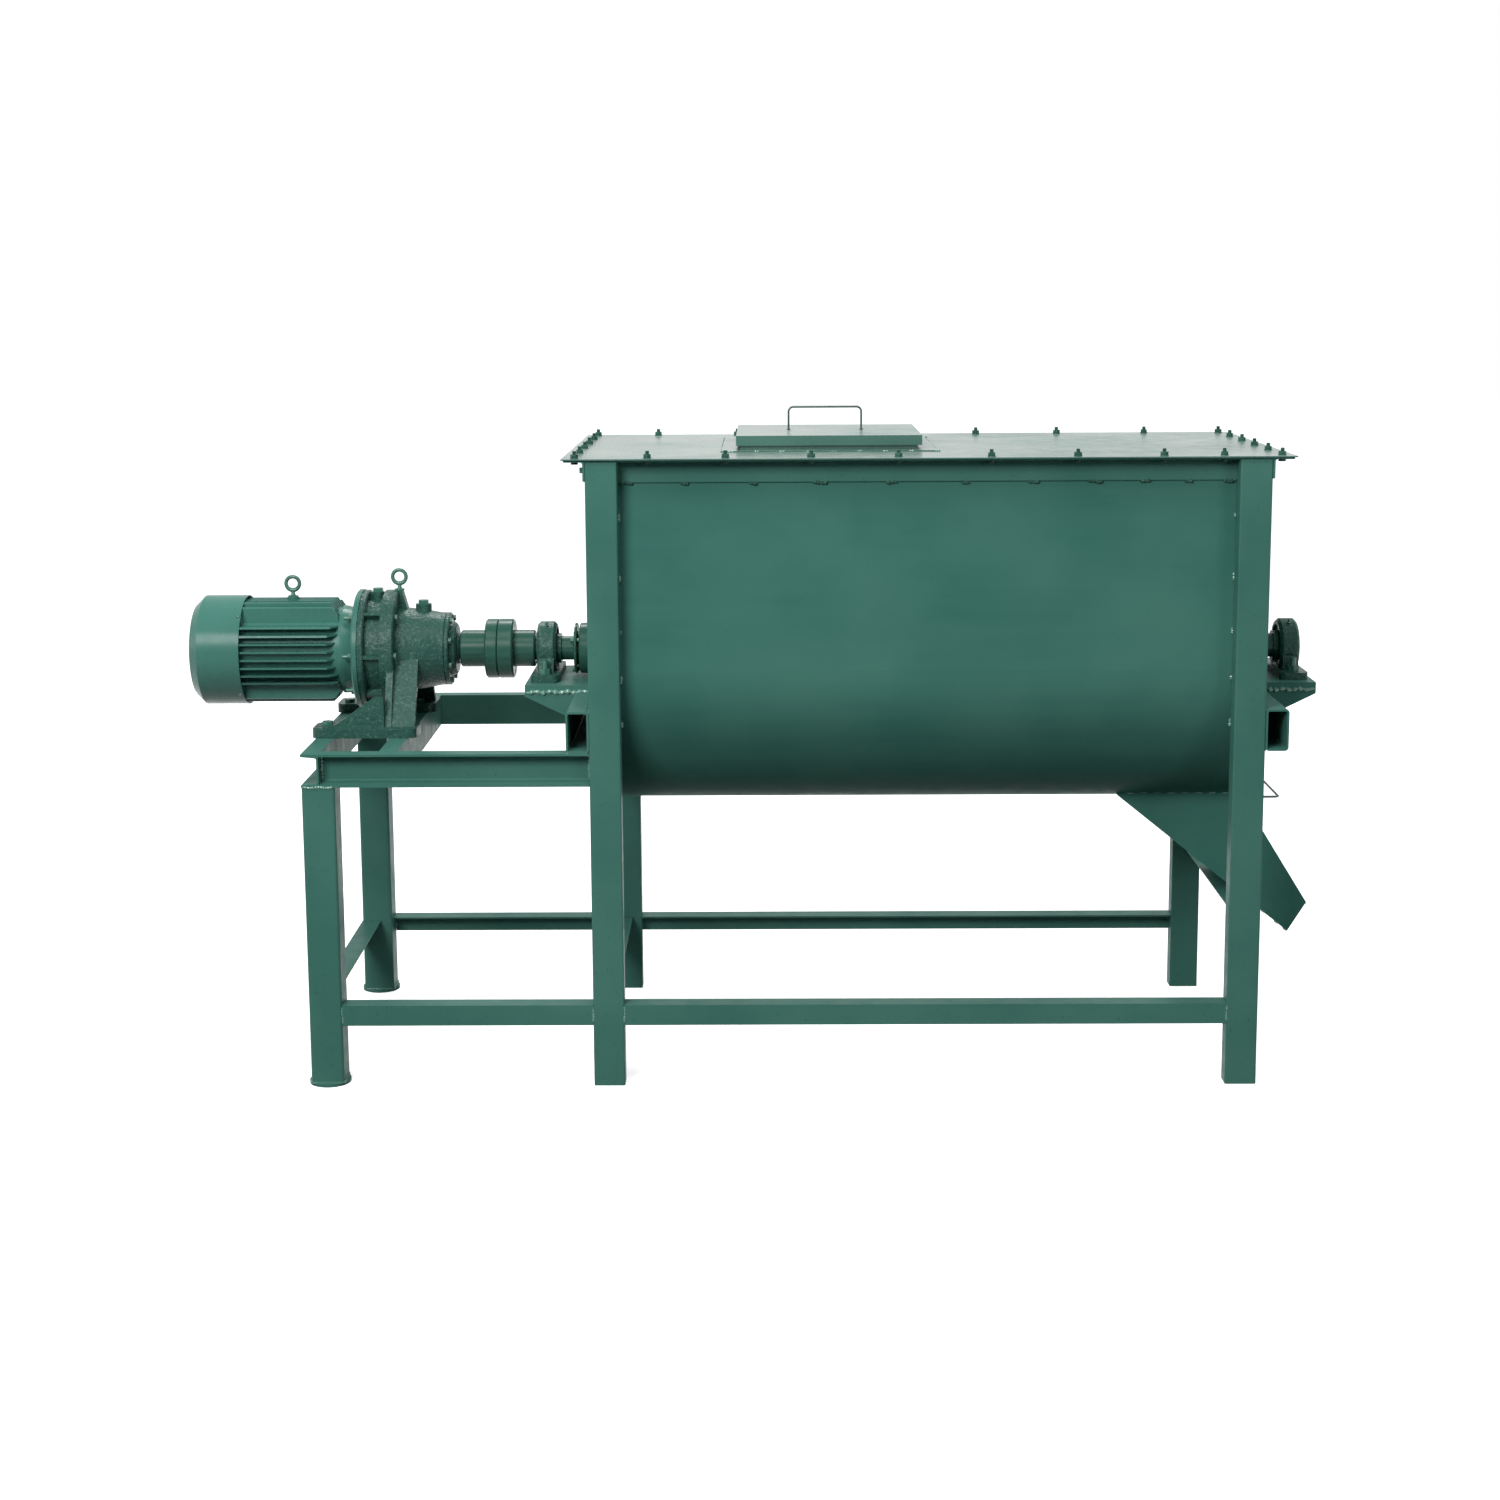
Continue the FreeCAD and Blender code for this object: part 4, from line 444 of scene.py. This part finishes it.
def joint_welds():
    """Fillets where rails, channels and tubes meet the legs."""
    parts, seed = [], 40
    runs = []
    for side in (-1, 1):
        y = side * 425
        for x in (-0.5, 75.5, 1524.5):
            runs.append((at(x, y * 0.995, 156), at(x, y * 0.995, 198), 0.006, (0, 1, 0)))
        runs.append((at(-606.5, y * 0.995, 156), at(-606.5, y * 0.995, 198), 0.006, (0, 1, 0)))
        runs.append((at(-684, y * 0.998, 740.5), at(-610, y * 0.998, 740.5), 0.008, (0, 1, 0)))
        runs.append((at(-642.5, side * 388, 750), at(-642.5, side * 388, 812), 0.0095, (1, 0, 0)))
        runs.append((at(-1.5, side * 388, 750), at(-1.5, side * 388, 812), 0.0095, (1, 0, 0)))
        runs.append((at(-55, y * 0.99, 820.5), at(-2, y * 0.99, 820.5), 0.007, (0, 1, 0)))
        for x in (-0.5, 1600.5):
            runs.append((at(x, side * 380, 822), at(x, side * 422, 822), 0.006, (1, 0, 0)))
            runs.append((at(x, side * 380, 918), at(x, side * 422, 918), 0.006, (1, 0, 0)))
    for start, end, width, normal in runs:
        seed += 1
        parts.append(bead(start, end, width, normal, 0.008, 0.3, seed))
    return parts


def foot_welds():
    """Ring of weld where each stand leg meets its disc."""
    parts = []
    for side in (-1, 1):
        for x0, y0, x1, y1 in ((-687, 425, -607, 425), (-607, 425, -607, 345), (-607, 345, -687, 345),
                               (-687, 345, -687, 425)):
            start, end = at(x0, side * y0, 8.5), at(x1, side * y1, 8.5)
            parts.append(bead(start, end, 0.007, (0, 0, 1), 0.008, 0.3, x0 + y1))
    return parts


def chute_welds():
    """Seam of the chute's side plates under the trough, and specks along their lower edges."""
    parts, seed = [], 80
    for side in (-1, 1):
        y = side * 130.5
        z = SHAFT_LINE - math.sqrt(TROUGH_RADIUS ** 2 - 130.5 ** 2)
        for x in range(1318, 1590, 34):
            seed += 1
            parts.append(bead(at(x, y, z), at(x + 20, y, z), 0.0065, (0, 1, 0), 0.007, 0.3, seed))
        for x in (1640, 1668, 1702, 1724):
            seed += 1
            zf = 650 - (x - 1296) * math.tan(math.radians(39.0))
            start, end = at(x - 5, side * 129.5, zf + 4), at(x + 5, side * 129.5, zf - 4)
            parts.append(bead(start, end, 0.005, (0, 1, 0), 0.005, 0.3, seed))
    return parts


def neck_welds():
    """Tacks along the edge of the hatch neck's flange on the lid."""
    parts = []
    x0, x1, y0, y1, z = 315, 835, -230, 270, 1518.6
    for i, x in enumerate(range(330, 830, 62)):
        parts.append(bead(at(x, y0, z), at(x + 16, y0, z), 0.0055, (0, 0, 1), 0.006, 0.3, i))
        parts.append(bead(at(x, y1, z), at(x + 16, y1, z), 0.0055, (0, 0, 1), 0.006, 0.3, i + 9))
    for i, y in enumerate(range(-215, 260, 58)):
        parts.append(bead(at(x0, y, z), at(x0, y + 16, z), 0.0055, (0, 0, 1), 0.006, 0.3, i + 20))
        parts.append(bead(at(x1, y, z), at(x1, y + 16, z), 0.0055, (0, 0, 1), 0.006, 0.3, i + 31))
    return parts


# ---- Handles and lifting eyes -------------------------------------------------------------------------
def bent(points, bend, steps=10):
    """Path through the points with each inner corner rounded by an arc of radius bend."""
    points = [np.array(p, float) for p in points]
    path = [points[0]]
    for before, corner, after in zip(points, points[1:], points[2:]):
        back = (before - corner) / np.linalg.norm(before - corner)
        ahead = (after - corner) / np.linalg.norm(after - corner)
        half = math.acos(np.dot(back, ahead)) / 2
        centre = corner + (back + ahead) / np.linalg.norm(back + ahead) * bend / math.sin(half)
        first = corner + back * bend / math.tan(half) - centre
        last = corner + ahead * bend / math.tan(half) - centre
        sweep = math.pi - 2 * half
        t = np.linspace(0, sweep, steps)[:, None]
        path.extend(centre + (np.sin(sweep - t) * first + np.sin(t) * last) / math.sin(sweep))
    path.append(points[-1])
    return np.array(path)


def hatch_bar():
    route = [at(479, 32, 1555), at(479, 32, 1612), at(661, 32, 1612), at(661, 32, 1555)]
    parts = [tube(bent(route, 0.012), 0.0025, (0, 1, 0), 16)]
    for i, x in enumerate((479, 661)):
        collar = tube(at(x, 32, 1555.4) + 0.0032 * np.column_stack([
            np.cos(np.linspace(0, 2 * math.pi, 20, endpoint=False)),
            np.sin(np.linspace(0, 2 * math.pi, 20, endpoint=False)), np.zeros(20)]),
            0.0018 * (1 + 0.25 * np.sin(np.arange(20) * 1.9 + i)), (0, 0, 1), 8, True)
        parts.append(collar)
    return parts


def gate_bar():
    route = [at(1628, -119, 642), at(1702, -119, 642), at(1702, 119, 642), at(1628, 119, 642)]
    return [tube(bent(route, 0.012), 0.003, (0, 0, 1), 16)]


def lifting_eyes():
    """Forged eyes: a round ring in the shaft's plane on a waisted neck and a flat collar."""
    parts = []
    a = np.linspace(0, 2 * math.pi, 40, endpoint=False)
    for x, seat in ((-505, 1158), (-775, 1142)):
        centre = at(x, 0, seat + 34)
        loop = centre + 0.017 * np.column_stack([np.sin(a), np.zeros(40), np.cos(a)])
        swell = 0.0048 * (1 + 0.18 * np.clip(-np.cos(a), 0, 1) ** 3)
        parts.append(tube(loop, swell, (0, 1, 0), 14, True))
        parts.append(placed(lathe([(0, 0), (0.0125, 0), (0.0125, 0.0032), (0.0108, 0.0042), (0.0066, 0.0050),
                                   (0.0048, 0.0085), (0.0052, 0.0130), (0.0040, 0.0160), (0, 0.0160)], 24),
                            at(x, 0, seat)))
    return parts


def main_pieces():
    piece("lid_nuts_and_bolts", lid_bolts(), turned_steel_enamel, "frame")
    piece("cowl_screws", cowl_screws(), daubed_enamel, "frame")
    piece("grease_nipples", grease_nipples(), daubed_enamel, "frame")
    piece("leg_tack_welds", leg_tacks(), bead_highlight_enamel, "frame")
    piece("rim_stitch_welds", rim_stitches(), turned_steel_enamel, "frame")
    piece("bracket_welds", bracket_welds(), bead_highlight_enamel, "frame")
    piece("joint_welds", joint_welds(), bead_highlight_enamel, "frame")
    piece("foot_welds", foot_welds(), daubed_enamel, "frame")
    piece("chute_welds", chute_welds(), bead_highlight_enamel, "frame")
    piece("neck_welds", neck_welds(), daubed_enamel, "frame")
    piece("hatch_bar", hatch_bar(), misted_bar, "cover", replaces=("hatch_handle",))
    piece("gate_bar", gate_bar(), misted_bar, "gate", replaces=("gate_handle",))
    piece("lifting_eyes", lifting_eyes(), daubed_enamel, "frame", replaces=("eye_bolts",))


main_pieces()


# ---- Floor, light and camera --------------------------------------------------------------------------
def seen_by_eye(tree):
    """1 for rays from the camera, a mirror or through glass, and 0 for the light that the floor sends on."""
    path = add(tree, "ShaderNodeLightPath").outputs
    either = add(tree, "ShaderNodeMath", {0: path["Is Camera Ray"], 1: path["Is Glossy Ray"]},
                 operation="MAXIMUM")
    return add(tree, "ShaderNodeMath", {0: either.outputs[0], 1: path["Is Transmission Ray"]},
               operation="MAXIMUM").outputs[0]


def make_floor():
    material, tree = blank("pale_studio_floor")
    coords = add(tree, "ShaderNodeTexCoord").outputs["Object"]
    tint = mixed(tree, noise(tree, coords, 1.5, 2.0), linear("#F4F4F3"), linear("#FAFAF9"))
    matt = add(tree, "ShaderNodeBsdfDiffuse", {"Color": tint})
    away = add(tree, "ShaderNodeVectorMath", {0: coords}, operation="LENGTH").outputs["Value"]
    glow = add(tree, "ShaderNodeEmission", {
        "Color": linear("#FFFFFF"), "Strength": ranged(tree, away, 2.2, 6.0, 0.70, 1.0)})
    pale = add(tree, "ShaderNodeAddShader", {0: matt.outputs[0], 1: glow.outputs[0]})
    quiet = add(tree, "ShaderNodeBsdfDiffuse", {"Color": linear("#1C1F20")})
    both = add(tree, "ShaderNodeMixShader", {0: seen_by_eye(tree), 1: quiet.outputs[0], 2: pale.outputs[0]})
    add(tree, "ShaderNodeOutputMaterial", {"Surface": both.outputs[0]})
    size = 30.0
    corners = [(-size, -size, 0), (size, -size, 0), (size, size, 0), (-size, size, 0)]
    mesh = bpy.data.meshes.new("studio_floor")
    mesh.from_pydata(corners, [], [(0, 1, 2, 3)])
    mesh.materials.append(material)
    floor = bpy.data.objects.new("studio_floor", mesh)
    bpy.context.scene.collection.objects.link(floor)


def make_world():
    world = bpy.data.worlds.new("studio")
    world.use_nodes = True
    tree = world.node_tree
    tree.nodes.clear()
    white = add(tree, "ShaderNodeBackground", {"Color": (1, 1, 1, 1), "Strength": 1.0})
    soft = add(tree, "ShaderNodeBackground", {"Color": linear("#C2DAE2"), "Strength": 0.27})
    both = add(tree, "ShaderNodeMixShader", {0: seen_by_eye(tree), 1: soft.outputs[0], 2: white.outputs[0]})
    add(tree, "ShaderNodeOutputWorld", {"Surface": both.outputs[0]})
    bpy.context.scene.world = world


def softbox(name, place, aim, width, height, watts):
    lamp = bpy.data.lights.new(name, "AREA")
    lamp.shape = "RECTANGLE"
    lamp.size = width
    lamp.size_y = height
    lamp.energy = watts
    lamp.color = (1.0, 0.985, 0.965)
    made = bpy.data.objects.new(name, lamp)
    made.location = place
    made.rotation_euler = (Vector(aim) - Vector(place)).to_track_quat("-Z", "Y").to_euler()
    bpy.context.scene.collection.objects.link(made)


def make_camera():
    """Standing eye level in front of the machine, looking nine degrees down."""
    pitch, yaw, roll = math.radians(8.988), math.radians(-0.513), math.radians(0.325)
    ahead = Vector((math.sin(yaw) * math.cos(pitch), math.cos(yaw) * math.cos(pitch), -math.sin(pitch)))
    level = Vector((math.cos(yaw), -math.sin(yaw), 0))
    down = ahead.cross(level)
    right = level * math.cos(roll) + down * math.sin(roll)
    up = level * math.sin(roll) - down * math.cos(roll)
    turn = Matrix((right, up, -ahead)).transposed().to_4x4()
    camera = bpy.data.cameras.new("eye_level")
    camera.sensor_width = 36.0
    camera.lens = 56.915
    camera.shift_y = -0.0656
    camera.clip_end = 200.0
    made = bpy.data.objects.new("eye_level", camera)
    made.matrix_world = Matrix.Translation((0.0519, -5.9356, 1.9353)) @ turn
    bpy.context.scene.collection.objects.link(made)
    bpy.context.scene.camera = made


make_floor()
make_world()
softbox("overhead", (-0.2, -2.4, 5.4), (0, 0, 0.9), 3.4, 2.0, 120)
softbox("key", (-2.4, -5.2, 4.0), (0.0, 0, 1.0), 2.4, 2.0, 290)
softbox("fill", (4.2, -4.8, 2.4), (0.2, 0, 0.9), 1.8, 1.8, 45)
softbox("rear", (-0.6, 4.4, 6.4), (0.0, 0.3, 0.9), 2.2, 1.8, 190)
softbox("right", (4.6, 1.8, 5.0), (1.2, 0, 0.9), 1.8, 1.6, 90)
softbox("side", (-5.2, 0.2, 2.0), (-1.2, 0, 1.0), 1.4, 2.0, 40)
make_camera()
bpy.context.scene.view_settings.view_transform = "Standard"
